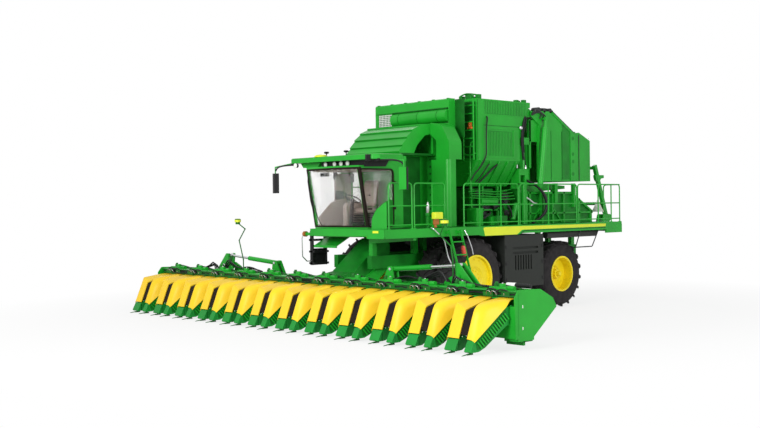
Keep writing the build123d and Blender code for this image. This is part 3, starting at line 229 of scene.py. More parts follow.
mats = {name: surface(name, *values) for name, values in finishes.items()}
mats["glass"] = glassSurface()
nodeFinish = [
    # start of the node's name, finish: the first that fits holds
    ("cab_glass", "glass"), ("door_glass", "glass"), ("operator_station", "cabBeige"),
    ("mirrors", "blackPlastic"), ("side_boxes", "greyPanel"), ("header_lamps", "shadeAndSeamGreen"),
    # The engine, crop duct, frame and front axle take the darkened green: painted shade under the body.
    ("roof_lamps", "blackPlastic"), ("engine", "shadedGreen"), ("crop_duct", "shadedGreen"),
    ("frame", "shadedGreen"), ("front_axle", "shadedGreen"), ("gate_rod", "greenPaint"),
    ("fold_rod", "brightSteel"), ("door_frame", "blackRubber"), ("tyre", "tyreRubber"),
    ("rim_", "rimLitYellow"), ("hoods", "hoodYellow"), ("curtains", "blackRubber"), ("", "greenPaint"),
]
for name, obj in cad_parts.items():
    obj.data.materials.clear()
    obj.data.materials.append(mats[next(finish for start, finish in nodeFinish if name.startswith(start))])
print("frame finished:", len(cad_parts), "nodes")


# Mesh pieces: forms are added one after another, counted from origin, and done() finishes the piece
class Piece:
    def __init__(self, name, finish, body="chassis"):
        self.name, self.finish, self.body = name, finish, body
        self.mesh = bmesh.new()
        self.origin = Vector()

    def loft(self, rings, closed=True):
        loops = [[self.mesh.verts.new(self.origin + Vector(p)) for p in ring] for ring in rings]
        count = len(loops[0])
        for a, b in zip(loops, loops[1:]):
            for i in range(count if closed else count - 1):
                j = (i + 1) % count
                self.mesh.faces.new((a[i], a[j], b[j], b[i]))
        if closed:
            self.mesh.faces.new(loops[0][::-1])
            self.mesh.faces.new(loops[-1])
        return self

    def across(self, outline, x0, x1):
        return self.loft([[(x, y, z) for y, z in outline] for x in (x0, x1)])

    def along(self, outline, y0, y1):
        return self.loft([[(x, y, z) for x, z in outline] for y in (y0, y1)])

    def brick(self, x0, x1, y0, y1, z0, z1):
        return self.across([(y0, z0), (y1, z0), (y1, z1), (y0, z1)], x0, x1)

    def turned(self, centre, axis, rows, sides=16):
        centre, axis = Vector(centre), Vector(axis).normalized()
        first = axis.orthogonal().normalized()
        second = axis.cross(first)
        angles = [2 * math.pi * i / sides for i in range(sides)]
        return self.loft([[centre + axis * offset + (first * math.cos(a) + second * math.sin(a)) * radius
                           for a in angles] for offset, radius in rows])

    def stick(self, start, end, radius):
        run = Vector(end) - Vector(start)
        return self.turned(start, run, [(0, radius), (run.length, radius)], 10)

    def hose(self, route, radius, smooth=True):
        data = bpy.data.curves.new("route", "CURVE")
        data.dimensions = "3D"
        spline = data.splines.new("NURBS" if smooth else "POLY")
        spline.points.add(len(route) - 1)
        for point, place in zip(spline.points, route):
            point.co = (*(self.origin + Vector(place)), 1)
        spline.order_u = 3
        spline.use_endpoint_u = True
        spline.resolution_u = 6
        data.bevel_depth = radius
        data.bevel_resolution = 2
        data.use_fill_caps = True
        tube = evaluated(bpy.data.objects.new("route", data))
        self.mesh.from_mesh(tube)
        bpy.data.meshes.remove(tube)
        return self

    def twin(self):  # what has been added so far also stands on the other side
        mesh = self.mesh
        copied = bmesh.ops.duplicate(mesh, geom=mesh.verts[:] + mesh.edges[:] + mesh.faces[:])
        verts = [item for item in copied["geom"] if isinstance(item, bmesh.types.BMVert)]
        bmesh.ops.scale(mesh, vec=(-1, 1, 1), verts=verts)
        return self

    def done(self, bevel=0.0, angle=35, thick=0.0):
        bmesh.ops.remove_doubles(self.mesh, verts=self.mesh.verts, dist=1e-6)
        bmesh.ops.recalc_face_normals(self.mesh, faces=self.mesh.faces)
        if thick:
            bmesh.ops.solidify(self.mesh, geom=self.mesh.faces, thickness=thick)
            bmesh.ops.recalc_face_normals(self.mesh, faces=self.mesh.faces)
        mesh = bpy.data.meshes.new(self.name)
        self.mesh.to_mesh(mesh)
        self.mesh.free()
        return finishPiece(mesh, self.name, self.finish, self.body, bevel, angle)


def evaluated(carrier):
    scene.collection.objects.link(carrier)
    bpy.context.view_layer.update()
    mesh = bpy.data.meshes.new_from_object(carrier.evaluated_get(bpy.context.evaluated_depsgraph_get()))
    bpy.data.objects.remove(carrier)
    return mesh


def finishPiece(mesh, name, finish, body="chassis", bevel=0.0, angle=35, subdivide=0):
    mesh.transform(toFrame)
    mesh.materials.clear()
    mesh.materials.append(mats[finish])
    for polygon in mesh.polygons:
        polygon.use_smooth = True
    mesh.set_sharp_from_angle(angle=math.radians(angle))
    obj = bpy.data.objects.new(name, mesh)
    scene.collection.objects.link(obj)
    if subdivide:
        modifier = obj.modifiers.new("round", "SUBSURF")
        modifier.levels = modifier.render_levels = subdivide
    if bevel:
        modifier = obj.modifiers.new("edges", "BEVEL")
        modifier.width = bevel
        modifier.segments = 2
        modifier.limit_method = "ANGLE"
        modifier.harden_normals = True
    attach(obj, body)
    return obj


# Smooth lines: corners rounded by a curve, and points spread evenly along a line
def bent(a, b, c, share):
    return a * (1 - share) ** 2 + b * 2 * share * (1 - share) + c * share ** 2


def rounded(points, reach, steps=6):
    points = [Vector(p) for p in points]
    line = [points[0]]
    for before, corner, after in zip(points, points[1:], points[2:]):
        first, last = (corner + (p - corner).normalized() * min(reach, (p - corner).length / 2)
                       for p in (before, after))
        line += [bent(first, corner, last, i / steps) for i in range(steps + 1)]
    return line + [points[-1]]


def spread(line, count):
    lengths = [0.0]
    for a, b in zip(line, line[1:]):
        lengths.append(lengths[-1] + (b - a).length)
    result = []
    k = 0
    for i in range(count):
        wanted = lengths[-1] * i / (count - 1)
        while k < len(line) - 2 and lengths[k + 1] < wanted:
            k += 1
        share = (wanted - lengths[k]) / max(lengths[k + 1] - lengths[k], 1e-9)
        result.append(line[k].lerp(line[k + 1], min(share, 1.0)))
    return result


# Repeats by geometry nodes: a row of small blocks, and a ring of bolt heads
def addTree(name, sockets):
    tree = bpy.data.node_groups.new(name, "GeometryNodeTree")
    for label, kind in sockets.items():
        tree.interface.new_socket(label, in_out="INPUT", socket_type="NodeSocket" + kind)
    tree.interface.new_socket("Geometry", in_out="OUTPUT", socket_type="NodeSocketGeometry")
    return tree, tree.nodes.new("NodeGroupInput").outputs


def endTree(tree, repeats, place, finish):
    real = addNode(tree, "GeometryNodeRealizeInstances", {"Geometry": repeats})
    placed = addNode(tree, "GeometryNodeTransform", {"Geometry": real.outputs[0], **place})
    paint = addNode(tree, "GeometryNodeSetMaterial", {"Geometry": placed.outputs[0], "Material": finish})
    addNode(tree, "NodeGroupOutput", {"Geometry": paint.outputs[0]})
    return tree


def barRowTree():
    tree, given = addTree("barRow", {"Count": "Int", "Start": "Vector", "Step": "Vector", "Size": "Vector",
                                     "Turn": "Vector", "Finish": "Material"})
    line = addNode(tree, "GeometryNodeMeshLine", mode="OFFSET", sockets={
        "Count": given["Count"], "Start Location": given["Start"], "Offset": given["Step"]})
    block = addNode(tree, "GeometryNodeMeshCube", {"Size": given["Size"]})
    repeats = addNode(tree, "GeometryNodeInstanceOnPoints", {
        "Points": line.outputs[0], "Instance": block.outputs["Mesh"], "Rotation": given["Turn"]})
    return endTree(tree, repeats.outputs[0], {}, given["Finish"])


def boltRingTree():
    tree, given = addTree("boltRing",
                          {"Count": "Int", "Radius": "Float", "Centre": "Vector", "Turn": "Vector",
                                       "Head": "Float", "Height": "Float", "Finish": "Material"})
    ring = addNode(tree, "GeometryNodeMeshCircle", {"Vertices": given["Count"], "Radius": given["Radius"]})
    head = addNode(tree, "GeometryNodeMeshCylinder", {"Vertices": 6, "Radius": given["Head"],
                                                      "Depth": given["Height"]})
    repeats = addNode(tree, "GeometryNodeInstanceOnPoints", {"Points": ring.outputs[0],
                                                             "Instance": head.outputs["Mesh"]})
    place = {"Translation": given["Centre"], "Rotation": given["Turn"]}
    return endTree(tree, repeats.outputs[0], place, given["Finish"])


trees = {"barRow": barRowTree(), "boltRing": boltRingTree()}


def repeated(name, finish, tree, sets, bevel=0.0, body="chassis"):
    joined = bmesh.new()
    for values in sets:
        carrier = bpy.data.objects.new("carrier", bpy.data.meshes.new("carrier"))
        modifier = carrier.modifiers.new("repeat", "NODES")
        modifier.node_group = trees[tree]
        for item in trees[tree].interface.items_tree:
            if item.in_out == "INPUT":
                modifier[item.identifier] = mats[finish] if item.name == "Finish" else values[item.name]
        grown = evaluated(carrier)
        joined.from_mesh(grown)
        bpy.data.meshes.remove(grown)
    mesh = bpy.data.meshes.new(name)
    joined.to_mesh(mesh)
    joined.free()
    return finishPiece(mesh, name, finish, body, bevel)


def radians(angles):
    return tuple(math.radians(a) for a in angles)


def barRow(count, start, step, size, turn=(0, 0, 0)):
    return {"Count": count, "Start": tuple(start), "Step": step, "Size": size, "Turn": radians(turn)}


def boltRing(count, radius, centre, turn, head=0.016, height=0.03):
    return {"Count": count, "Radius": radius, "Centre": centre, "Turn": radians(turn), "Head": head,
            "Height": height}


# Header: twelve row units on three sections, of which the two wings fold
sections = {"header": "centre", "wing_left": "left", "wing_right": "right"}


def rowsOf(section):
    for i in range(layout["rows"]):
        x = (i - (layout["rows"] - 1) / 2) * layout["rowPitch"]
        if section == ("header" if abs(x) < layout["foldX"] else "wing_left" if x > 0 else "wing_right"):
            yield x


def titled(name, section):
    return name + section[0].upper() + section[1:]


def bySection(name, finish, build, bevel=0.0):
    for section in sections:
        piece = Piece(titled(name, section), finish, section)
        for x in rowsOf(section):
            piece.origin = Vector((x, 0, 0))
            build(piece)
        piece.done(bevel)


# Small fixings of one row, from the front of its case
rowTrim = {"y": 0.905, "z": 1.04, "hose": 0.013, "half": 0.508, "caseY": 1.13, "caseZ": 1.165}


def driveHoses(piece):
    y, z, pipe = rowTrim["y"], rowTrim["z"], rowTrim["hose"]
    for x, lift, out in ((-0.20, 0.10, 0.0), (-0.10, 0.06, 0.02), (0.06, 0.09, 0.0)):
        piece.hose([(x, y, z - 0.04), (x - 0.03, y - 0.02 - out, z + lift * 0.8),
                    (x + 0.10, y - 0.01, z + lift), (x + 0.22, y + 0.02, z + lift * 0.7),
                    (x + 0.34, y + 0.03, z - 0.02)], pipe)
    piece.hose([(-0.50, y + 0.02, z + 0.015), (-0.30, y + 0.015, z - 0.015), (0, y + 0.02, z + 0.02),
                (0.28, y + 0.01, z - 0.01), (0.50, y + 0.02, z + 0.015)], pipe + 0.002)
    piece.hose([(-0.36, 1.24, 1.13), (-0.2, 1.26, 1.19), (0.1, 1.25, 1.16), (0.36, 1.24, 1.125)],
               pipe + 0.001)


def driveFittings(piece):
    y, z = rowTrim["y"], rowTrim["z"]
    for x in (-0.17, -0.05):
        piece.hose([(x - 0.05, y - 0.015, z - 0.03), (x - 0.04, y - 0.04, z + 0.05),
                    (x + 0.03, y - 0.045, z + 0.06), (x + 0.08, y - 0.03, z + 0.02),
                    (x + 0.06, y - 0.015, z - 0.03)], 0.006)
    for x in (-0.22, 0.02, 0.20):
        piece.turned((x, y + 0.01, z - 0.035), (0, -0.3, 1),
                     [(0, 0.02), (0.03, 0.02), (0.031, 0.014), (0.06, 0.014)], 8)
    piece.turned((0.04, 1.055, 1.216), (0, 0, 1),
                 [(0, 0.026), (0.012, 0.026), (0.014, 0.014), (0.026, 0.012)], 10)


def caseCaps(piece):
    y, z = rowTrim["caseY"], rowTrim["caseZ"]
    piece.turned((-0.17, y, z), (0, 0, 1), [(0, 0.05), (0.05, 0.05), (0.055, 0.035), (0.085, 0.03)], 14)
    piece.brick(-0.09, -0.02, y - 0.07, y + 0.07, z, z + 0.035)
    piece.hose([(-0.40, y + 0.07, z - 0.04), (-0.2, y + 0.105, z - 0.015), (0.1, y + 0.105, z - 0.035),
                (0.42, y + 0.07, z - 0.04)], 0.016)


def manifold(piece):
    y, z, half = rowTrim["y"], rowTrim["z"], rowTrim["half"]
    piece.brick(-half, half, y + 0.012, y + 0.034, 0.985, 1.098)
    piece.brick(-0.30, -0.05, y - 0.025, y + 0.012, 0.995, 1.075)
    piece.brick(0.14, 0.34, y - 0.01, y + 0.012, 1.0, 1.09)
    piece.stick((-half, y - 0.005, z - 0.03), (half, y - 0.005, z - 0.03), 0.016)
    piece.stick((-half, y + 0.005, z + 0.045), (half, y + 0.005, z + 0.045), 0.012)


def curtainStuds(piece):
    for i in range(4):
        for x, lift in ((-0.075, 0), (0.02, 0.02)):
            piece.turned((x, 0.055 + 0.018 * i, 0.315 + 0.045 * i + lift), (0, -0.92, 0.38),
                         [(0, 0.007), (0.010, 0.005)], 6)


# One row unit: a broad hood and a narrow one beside the slot, on green shoes. Lines are station and height.
unit = {"slot": {-1: -0.130, 1: 0.085}, "nose": {-1: 0.415, 1: 0.262}, "shoulder": {-1: 0.95, 1: 0.60},
        "rear": 0.430, "wall": 0.016, "flareY": 0.72, "sections": 22, "sheet": 0.006, "shoeIn": 0.012}
shoeOutlines = [
    [(0.0, 0.262), (0.012, 0.240), (0.70, 0.830), (0.72, 0.50), (0.24, 0.13), (0.10, 0.062), (0.0, 0.055)],
    [(0.004, 0.266), (0.020, 0.230), (0.020, 0.060), (-0.070, 0.052), (-0.095, 0.075), (-0.080, 0.110)],
    [(0.68, 0.838), (0.79, 0.838), (0.79, 0.50), (0.68, 0.49)],
]
comb = {"count": 14, "start": (0.008, 0.105, 0.180), "end": 0.69, "step": (0.0450, 0.0375),
        "tooth": (0.030, 0.022, 0.150),
        # band: outline of the dark strip behind the ribs, painted shade in their gaps
        "band": [(0.03, 0.235), (0.69, 0.800), (0.715, 0.62), (0.24, 0.150), (0.06, 0.10)]}


def folded(nose, knee, *rest):
    nose, knee, rest = Vector(nose), Vector(knee), [Vector(p) for p in rest]
    before = knee + (nose - knee).normalized() * 0.02
    after = knee + (rest[0] - knee).normalized() * 0.02
    middle = (before + knee * 2 + after) / 4
    return spread([nose, before], 7) + [middle] + spread([after] + rest, unit["sections"] - 8)


hoodLines = {
    -1: {"slot": folded((0, 0.285), (0.20, 0.785), (0.75, 0.930), (0.93, 0.966)),
         "outer": folded((0, 0.285), (0.255, 0.905), (0.62, 0.950), (0.93, 0.972)),
         "edge": folded((0, 0.235), (0.30, 0.49), (0.70, 0.840), (0.80, 0.955), (0.93, 0.966))},
    1: {"slot": spread(rounded([(0, 0.285), (0.225, 0.850), (0.42, 0.930), (0.93, 0.972)], 0.12),
                       unit["sections"]),
        "outer": spread(rounded([(0, 0.280), (0.25, 0.870), (0.50, 0.955), (0.93, 0.976)], 0.12),
                        unit["sections"]),
        "edge": spread([Vector(p) for p in ((0, 0.235), (0.70, 0.840), (0.80, 0.950), (0.93, 0.966))],
                       unit["sections"])},
}


def sideAt(side, y):
    nose = unit["nose"][side]
    return side * (nose + (unit["rear"] - nose) * min(max(y, 0) / unit["flareY"], 1))


def runAt(line, i):
    return (line[min(i + 1, len(line) - 1)] - line[max(i - 1, 0)]).normalized()


def hoodSkin(piece, side):
    slot, lines, rows = unit["slot"][side], hoodLines[side], []
    for i, ((y, z), (oy, oz), (ey, ez)) in enumerate(zip(lines["slot"], lines["outer"], lines["edge"])):
        run = runAt(lines["slot"], i)
        high, low = Vector((slot, y, z)), Vector((sideAt(side, ey), ey, ez))
        shoulder = Vector((slot + (sideAt(side, oy) - slot) * unit["shoulder"][side], oy, oz))
        row = [(slot, y + run[1] * unit["wall"], z - run[0] * unit["wall"]), high]
        if side < 0:
            near = high.lerp(shoulder, 0.92)
            row += [high.lerp(shoulder, 0.45), near]
            row += [bent(near, shoulder, shoulder.lerp(low, 0.10), t) for t in (0.33, 0.66, 1)]
        else:
            row += [bent(high, shoulder, shoulder.lerp(low, 0.5), t) for t in (0.06, 0.3, 0.55, 0.8, 1)]
        rows.append(row + [low])
    piece.loft(rows, closed=False)


def shoePair(piece):
    for side, slot in unit["slot"].items():
        for outline in shoeOutlines:
            piece.loft([[(slot, y, z) for y, z in outline],
                        [(sideAt(side, y) - side * unit["shoeIn"], y, z) for y, z in outline]])
    piece.brick(-0.46, 0.46, 0.80, 0.93, 0.42, 0.86)


def shoePoints(piece):
    for x in (-0.27, 0.17):
        piece.along([(x - 0.012, 0.012), (x, 0.045), (x + 0.012, 0.012)], -0.10, 0.05)
        piece.turned((x, -0.25, 0.014), (0, 1, 0.10),
                     [(0, 0.003), (0.03, 0.008), (0.20, 0.013), (0.24, 0.016)], 8)
        piece.turned((x, -0.03, 0.052), (0, 0, 1), [(0, 0.012), (0.02, 0.022), (0.03, 0.022)], 8)


def slotPanel(piece):
    rings = []
    left, right = hoodLines[-1]["slot"][1:], hoodLines[1]["slot"][1:]
    for i in range(len(left)):
        pairs = []
        for line, x in ((left, unit["slot"][-1] + 0.002), (right, unit["slot"][1] - 0.002)):
            run = runAt(line, i)
            pairs.append([(x, line[i][0] + run[1] * deep, line[i][1] - run[0] * deep)
                          for deep in (0.018, 0.048)])
        rings.append([pairs[0][0], pairs[1][0], pairs[1][1], pairs[0][1]])
    piece.loft(rings)


def combRibs():
    for section in sections:
        # Dark strips behind the comb ribs: painted shade in the gaps between the ribs.
        sets, gapShades = [], Piece(titled("combGapShade", section), "shadeAndSeamGreen", section)
        out, y, z = comb["start"]
        for x in rowsOf(section):
            gapShades.origin = Vector((x, 0, 0))
            for side in (1, -1):
                nose, rear = sideAt(side, 0.10), sideAt(side, comb["end"])
                turn = -side * math.degrees(math.atan2(abs(rear - nose), comb["end"] - 0.10))
                step = ((rear - nose) / (comb["count"] - 1), *comb["step"])
                sets.append(barRow(comb["count"], (x + nose + side * out, y, z), step, comb["tooth"],
                                   (40, 0, turn)))
                gapShades.loft([[(sideAt(side, by) - side * gap, by, bz) for by, bz in comb["band"]]
                            for gap in (0.014, 0.004)])
        repeated(titled("combRibs", section), "greenPaint", "barRow", sets, 0, section)
        gapShades.done()


def rowUnits():
    for section, side in sections.items():
        title = side.title()
        hoods = Piece("hoods" + title, "hoodYellow", section)
        shoes = Piece("shoes" + title, "shoeShadedGreen", section)
        panels = Piece("slotPanels" + title, "blackRubber", section)
        points = Piece("shoePoints" + title, "shadeAndSeamGreen", section)
        for x in rowsOf(section):
            for piece in (hoods, shoes, panels, points):
                piece.origin = Vector((x, 0, 0))
            hoodSkin(hoods, -1)
            hoodSkin(hoods, 1)
            shoePair(shoes)
            slotPanel(panels)
            shoePoints(points)
        points.done()
        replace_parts(hoods.done(0, 40, -unit["sheet"]), "hoods_" + side)
        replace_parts(shoes.done(0.006), "row_bases_" + side)
        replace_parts(panels.done(), "curtains_" + side)


rowUnits()
bySection("driveHoses", "blackPlastic", driveHoses)
bySection("driveFittings", "dullSteel", driveFittings)
bySection("caseCaps", "shadeAndSeamGreen", caseCaps, 0.002)
bySection("manifold", "shadeAndSeamGreen", manifold)
bySection("curtainStuds", "whitePlastic", curtainStuds)
combRibs()
print("row units made")


# Where the wings fold: hoses, pins, the end plates and the warning lamps
fold = {"x": 4.064, "y": 1.65, "z": 1.23, "anchorX": 2.05, "anchorZ": 1.34, "endX": 6.149,
        "lamps": (3.78, -3.40)}


def foldTrim():
    for side, s in (("Left", 1), ("Right", -1)):
        wing = "wing_" + side.lower()
        hoses = Piece("foldHoses" + side, "blackPlastic", "header")
        loops = Piece("wingHoses" + side, "blackPlastic", wing)
        for k in range(3):
            y = 1.42 - 0.035 * k
            hoses.hose([(s * 2.35, y, 1.13), (s * 2.7, y, 1.20 + 0.03 * k), (s * 3.2, y - 0.02, 1.17),
                        (s * 3.55, y, 1.24 + 0.04 * k), (s * 3.78, y + 0.01, 1.30 + 0.05 * k),
                        (s * 3.9, y + 0.03, 1.16)], 0.017)
            y = 1.36 - 0.05 * k
            loops.hose([(s * 4.14, y, 1.10), (s * 4.18, y, 1.26 + 0.05 * k), (s * 4.36, y - 0.02, 1.22),
                        (s * 4.7, y - 0.02, 1.135), (s * (5.3 + 0.25 * k), y, 1.12)], 0.017)
        hoses.done()
        loops.done()
        pins = Piece("foldPins" + side, "brightSteel", "header")
        for d in (-1, 1):
            pins.turned((s * fold["x"], fold["y"] + d * 0.168, fold["z"]), (0, d, 0),
                        [(0, 0.045), (0.018, 0.045), (0.02, 0.03), (0.03, 0.028)], 12)
            pins.turned((s * fold["anchorX"], fold["y"] + d * 0.095, fold["anchorZ"]), (0, d, 0),
                        [(0, 0.034), (0.012, 0.034), (0.014, 0.022)], 12)
        pins.done()
        edge = Piece("endPlateEdge" + side, "shadedGreen", wing)
        edge.brick(s * fold["endX"], s * (fold["endX"] + 0.003), 0.868, 0.880, 0.30, 1.06)
        edge.brick(s * 5.70, s * 6.10, 1.00, 1.34, 0.16, 0.26)
        edge.brick(s * 5.70, s * 6.10, 1.06, 1.12, 0.10, 0.20)
        edge.done(0.004)
    tube = Piece("markerTube", "blackPlastic", "wing_left")
    tube.turned((5.50, 1.60, 1.15), (1, 0, 0), [(0, 0.045), (0.36, 0.045), (0.365, 0.03)]).done()
    cap = Piece("markerCap", "whitePlastic", "wing_left")
    cap.turned((5.28, 1.60, 1.15), (1, 0, 0), [(0, 0.04), (0.01, 0.05), (0.21, 0.05), (0.22, 0.045)]).done()
    slots = Piece("endPlateSlots", "whitePlastic", "wing_left")
    for z in (0.80, 0.40):
        slots.brick(fold["endX"], fold["endX"] + 0.004, 0.985, 1.005, z, z + 0.055)
    slots.done()
    lenses = Piece("warningLenses", "stripeYellow", "header")
    for x in fold["lamps"]:
        lenses.turned((x, 1.45, 2.34), (0, 0, 1),
                      [(0, 0.081), (0.055, 0.081), (0.078, 0.066), (0.0875, 0.04), (0.088, 0)], 20)
    lenses.done(0, 60)


foldTrim()
print("header made")


# Wheels: bolts and hub caps, out from each rim
wheel = {
    # x of the rim, station, height
    "front": (1.71, 4.46, 0.955), "rear": (1.41, 8.17, 0.865),
    # bolts: count, circle, out, head, height
    "frontBolts": [(12, 0.20, 0.152, 0.016, 0.03), (16, 0.455, 0.186, 0.018, 0.022)],
    "rearBolts": [(10, 0.115, 0.098, 0.014, 0.03)],
    # caps: out, then offset and radius along the axle
    "frontHub": (0.158,
                 [(0, 0.15), (0.02, 0.147), (0.03, 0.12), (0.032, 0.09), (0.05, 0.085), (0.055, 0.06)]),
    "rearHub": (0.088, [(0, 0.12), (0.01, 0.118), (0.016, 0.075), (0.08, 0.07), (0.10, 0.055)]),
}


def wheels():
    for side, s in (("left", 1), ("right", -1)):
        for end, body in (("front", "dual_wheel_"), ("rear", "rear_wheel_")):
            x, y, z = wheel[end]
            rings = [boltRing(count, circle, (s * (x + out), y, z), (0, 90 * s, 0), head, height)
                     for count, circle, out, head, height in wheel[end + "Bolts"]]
            repeated(end + "Bolts" + side.title(), "rimLitYellow", "boltRing", rings, 0.002, body + side)
            out, rows = wheel[end + "Hub"]
            hub = Piece(end + "Hub" + side.title(), "rimLitYellow", body + side)
            hub.turned((s * (x + out), y, z), (s, 0, 0), rows, 32).done()


wheels()
print("wheel trim made")


# Platforms: decks with their bands, rails bent at the corners, outriggers and the ladder
deck = {"out": 2.05, "inner": 0.96, "top": 2.19, "thick": 0.06, "band": 0.012, "front": 1.40, "rear": 9.63,
        "end": 10.35, "rightFront": 3.02, "armStations": (2.34, 3.70, 5.20, 7.08, 8.90, 9.95)}
rails = {"x": 2.02, "top": 3.20, "mid": 2.70, "low": 2.28, "tube": 0.017, "bend": 0.10,
         "end": 10.30, "turnX": 1.50,
         # start, end and the posts between
         "runs": [(1.57, 2.28, []), (2.35, 3.33, [2.92]), (3.98, 5.96, [4.53, 5.30]), (6.01, 8.34, [7.15]),
                  (8.39, 10.30, [9.30, 9.90])]}


def decks():
    piece = Piece("decks", "greenPaint")
    top, out, rear = deck["top"], deck["out"], deck["rear"]
    under, low, inside = top - deck["thick"], top - 0.20, out - deck["band"]
    for s, front in ((1, deck["front"]), (-1, deck["rightFront"])):
        piece.brick(s * deck["inner"], s * inside, front, rear, under, top)
        piece.across([(front, top), (front, low + 0.05), (front + 0.06, low), (4.45, low), (4.62, low - 0.03),
                      (5.90, low - 0.03), (6.08, low), (rear, low), (rear, top)], s * inside, s * out)
        piece.brick(s * (out - 0.055), s * out, rear, deck["end"] + 0.01, 1.90, under)
    front = deck["front"]
    piece.brick(1.50, out, front - 0.012, front, low, top)
    piece.brick(0.96, 1.50, front - 0.012, front, low + 0.05, top)
    piece.brick(-out, out, rear, deck["end"], under, top)
    piece.brick(-deck["inner"], deck["inner"], 3.20, rear, under, top)
    sheet = rounded([(1.55, top), (1.56, 2.43), (1.70, 2.62), (2.03, 2.81), (2.03, top)], 0.06)
    piece.along(sheet, 1.490, 1.502)
    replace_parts(piece.done(0.004), "platforms")


def railings():
    piece = Piece("railings", "greenPaint")
    tube, foot, top = rails["tube"], deck["top"], rails["top"]
    for s in (1, -1):
        x, inner = s * rails["x"], s * rails["turnX"]
        for y0, y1, posts in rails["runs"]:
            if s < 0 and y0 < deck["rightFront"]:
                continue
            hoop = [(x, y0, foot), (x, y0, top), (x, y1, top), (x, y1, foot)]
            piece.hose(rounded(hoop, rails["bend"]), tube, False)
            for z in (rails["mid"], rails["low"]):
                piece.stick((x, y0, z), (x, y1, z), tube * 0.9)
            for y in posts:
                piece.stick((x, y, foot), (x, y, top), tube)
            for y in [y0, y1] + posts:
                piece.turned((x, y, foot), (0, 0, 1), [(0, 0.045), (0.012, 0.045), (0.014, 0.024)], 10)
        tail = [(x, rails["end"], top), (inner, rails["end"], top), (inner, rails["end"], foot)]
        piece.hose(rounded(tail, rails["bend"]), tube, False)
        piece.stick((x, rails["end"], rails["mid"]), (inner, rails["end"], rails["mid"]), tube)
    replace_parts(piece.done(), "handrails")


def outriggers():
    piece = Piece("outriggerArms", "greenPaint")
    for y in deck["armStations"]:
        under = deck["top"] - deck["thick"]
        top = 2.0 if y < 3.08 else under
        for s in (1, -1):
            if s < 0 and y < deck["rightFront"]:
                continue
            piece.brick(s * 0.53, s * 0.65, y, y + 0.14, 1.55, top)
            piece.loft([[(s * x, y, top - deep), (s * x, y + 0.10, top - deep),
                         (s * x, y + 0.10, top), (s * x, y, top)] for x,
                         deep in ((0.64, 0.16), (1.99, 0.07))])
            if y < 3.08:
                piece.brick(s * 1.30, s * 1.42, y, y + 0.10, top, under)
    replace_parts(piece.done(0.004), "outriggers")


stripe = {"band": [(4.62, 2.155), (4.68, 1.965), (5.86, 1.965), (6.06, 2.075), (9.58, 2.075), (9.60, 2.150),
                   (4.68, 2.170)],
          "lower": [(5.99, 1.992), (6.13, 2.062), (9.58, 2.062), (9.60, 2.035), (6.15, 2.035), (6.08, 1.992)]}


def stripes():
    for side, s in (("Left", 1), ("Right", -1)):
        x = deck["out"]
        Piece("sideStripe" + side, "stripeYellow").across(stripe["band"], s * x, s * (x + 0.004)).done(0.001)
        Piece("stripeShadow" + side, "shadeAndSeamGreen").across(stripe["lower"], s * x, s * (x + 0.003)).done()


deckFittings = {"grip": [(96, 1.505, 1.46), (76, -1.505, 3.16)], "gripStep": 0.085,
                "gripBar": (0.96, 0.03, 0.006), "bottle": (1.99, 2.80, 2.52), "boxX": 2.056,
                "plate": [(1.12, 2.46), (1.32, 2.80), (1.52, 2.46)]}


def deckTrim():
    d = deckFittings
    grip = [barRow(count, (x, y, deck["top"] + 0.002), (0, d["gripStep"], 0), d["gripBar"])
            for count, x, y in d["grip"]]
    repeated("deckGrip", "shadeAndSeamGreen", "barRow", grip)
    bottle = [(0, 0), (0.004, 0.030), (0.02, 0.036), (0.19, 0.036), (0.23, 0.022), (0.26, 0.012), (0.265, 0)]
    Piece("extinguisher", "dullSteel").turned(d["bottle"], (0.10, -0.05, 1), bottle, 18).done()
    base = Piece("extinguisherBase", "shadedGreen")
    base.turned((1.985, 2.80, 2.46), (0, 0, 1), [(0, 0.04), (0.03, 0.055), (0.07, 0.055), (0.08, 0.04)])
    base.brick(1.95, 2.01, 2.78, 2.82, 2.19, 2.47).done(0.004)
    x = d["boxX"]
    box = [(x, 2.395), (x, 2.53), (x + 0.019, 2.55), (x + 0.104, 2.55), (x + 0.114, 2.53), (x + 0.114, 2.395)]
    Piece("yellowBox", "stripeYellow").along(box, 2.86, 3.12).done(0.012)
    bracket = Piece("boxBracket", "bracketBrown").brick(x, x + 0.064, 2.90, 3.05, 2.27, 2.395)
    bracket.brick(2.06, 2.10, 2.93, 2.99, 2.20, 2.30).done(0.01)
    Piece("frontReflector", "stripeYellow").brick(1.70, 1.88, 1.382, 1.389, 2.115, 2.165).done(0.003)
    lamp = [(0, 0.03), (0.01, 0.055), (0.20, 0.06), (0.25, 0.05), (0.26, 0)]
    Piece("sideLamp", "lampRed").turned((2.10, 3.90, 1.52), (0, -0.2, 1), lamp).done(0, 60)
    Piece("trianglePlate", "lampRed").along(d["plate"], 10.277, 10.283).done(0.002)
    Piece("rearTriangle", "whitePlastic").along(d["plate"], 10.27, 10.276).done(0.002)


def tailLamps():
    y = 10.31
    Piece("tailBrackets", "greenPaint").brick(1.56, 1.99, y, y + 0.02, 1.97, 2.135).twin().done(0.003)
    Piece("tailLamps", "lampRed").brick(1.60, 1.76, y + 0.02, y + 0.045, 2.00, 2.10).twin().done(0.008)
    Piece("tailMarkers", "lampAmber").brick(1.79, 1.95, y + 0.02, y + 0.045, 2.00, 2.10).twin().done(0.008)


rivet = {"size": (0.008, 0.016, 0.016), "turn": (45, 0, 0),
         # station, height, count, step
         "body": [(5.14, 5.272, 20, (0, 0.095, 0)), (5.14, 4.90, 20, (0, 0.095, 0)),
                  (5.11, 3.86, 14, (0, 0, 0.10)), (7.06, 3.86, 14, (0, 0, 0.10))],
         "gate": [(y, 3.36, 12, (0, 0, 0.10)) for y in (7.66, 8.40, 9.64)]}


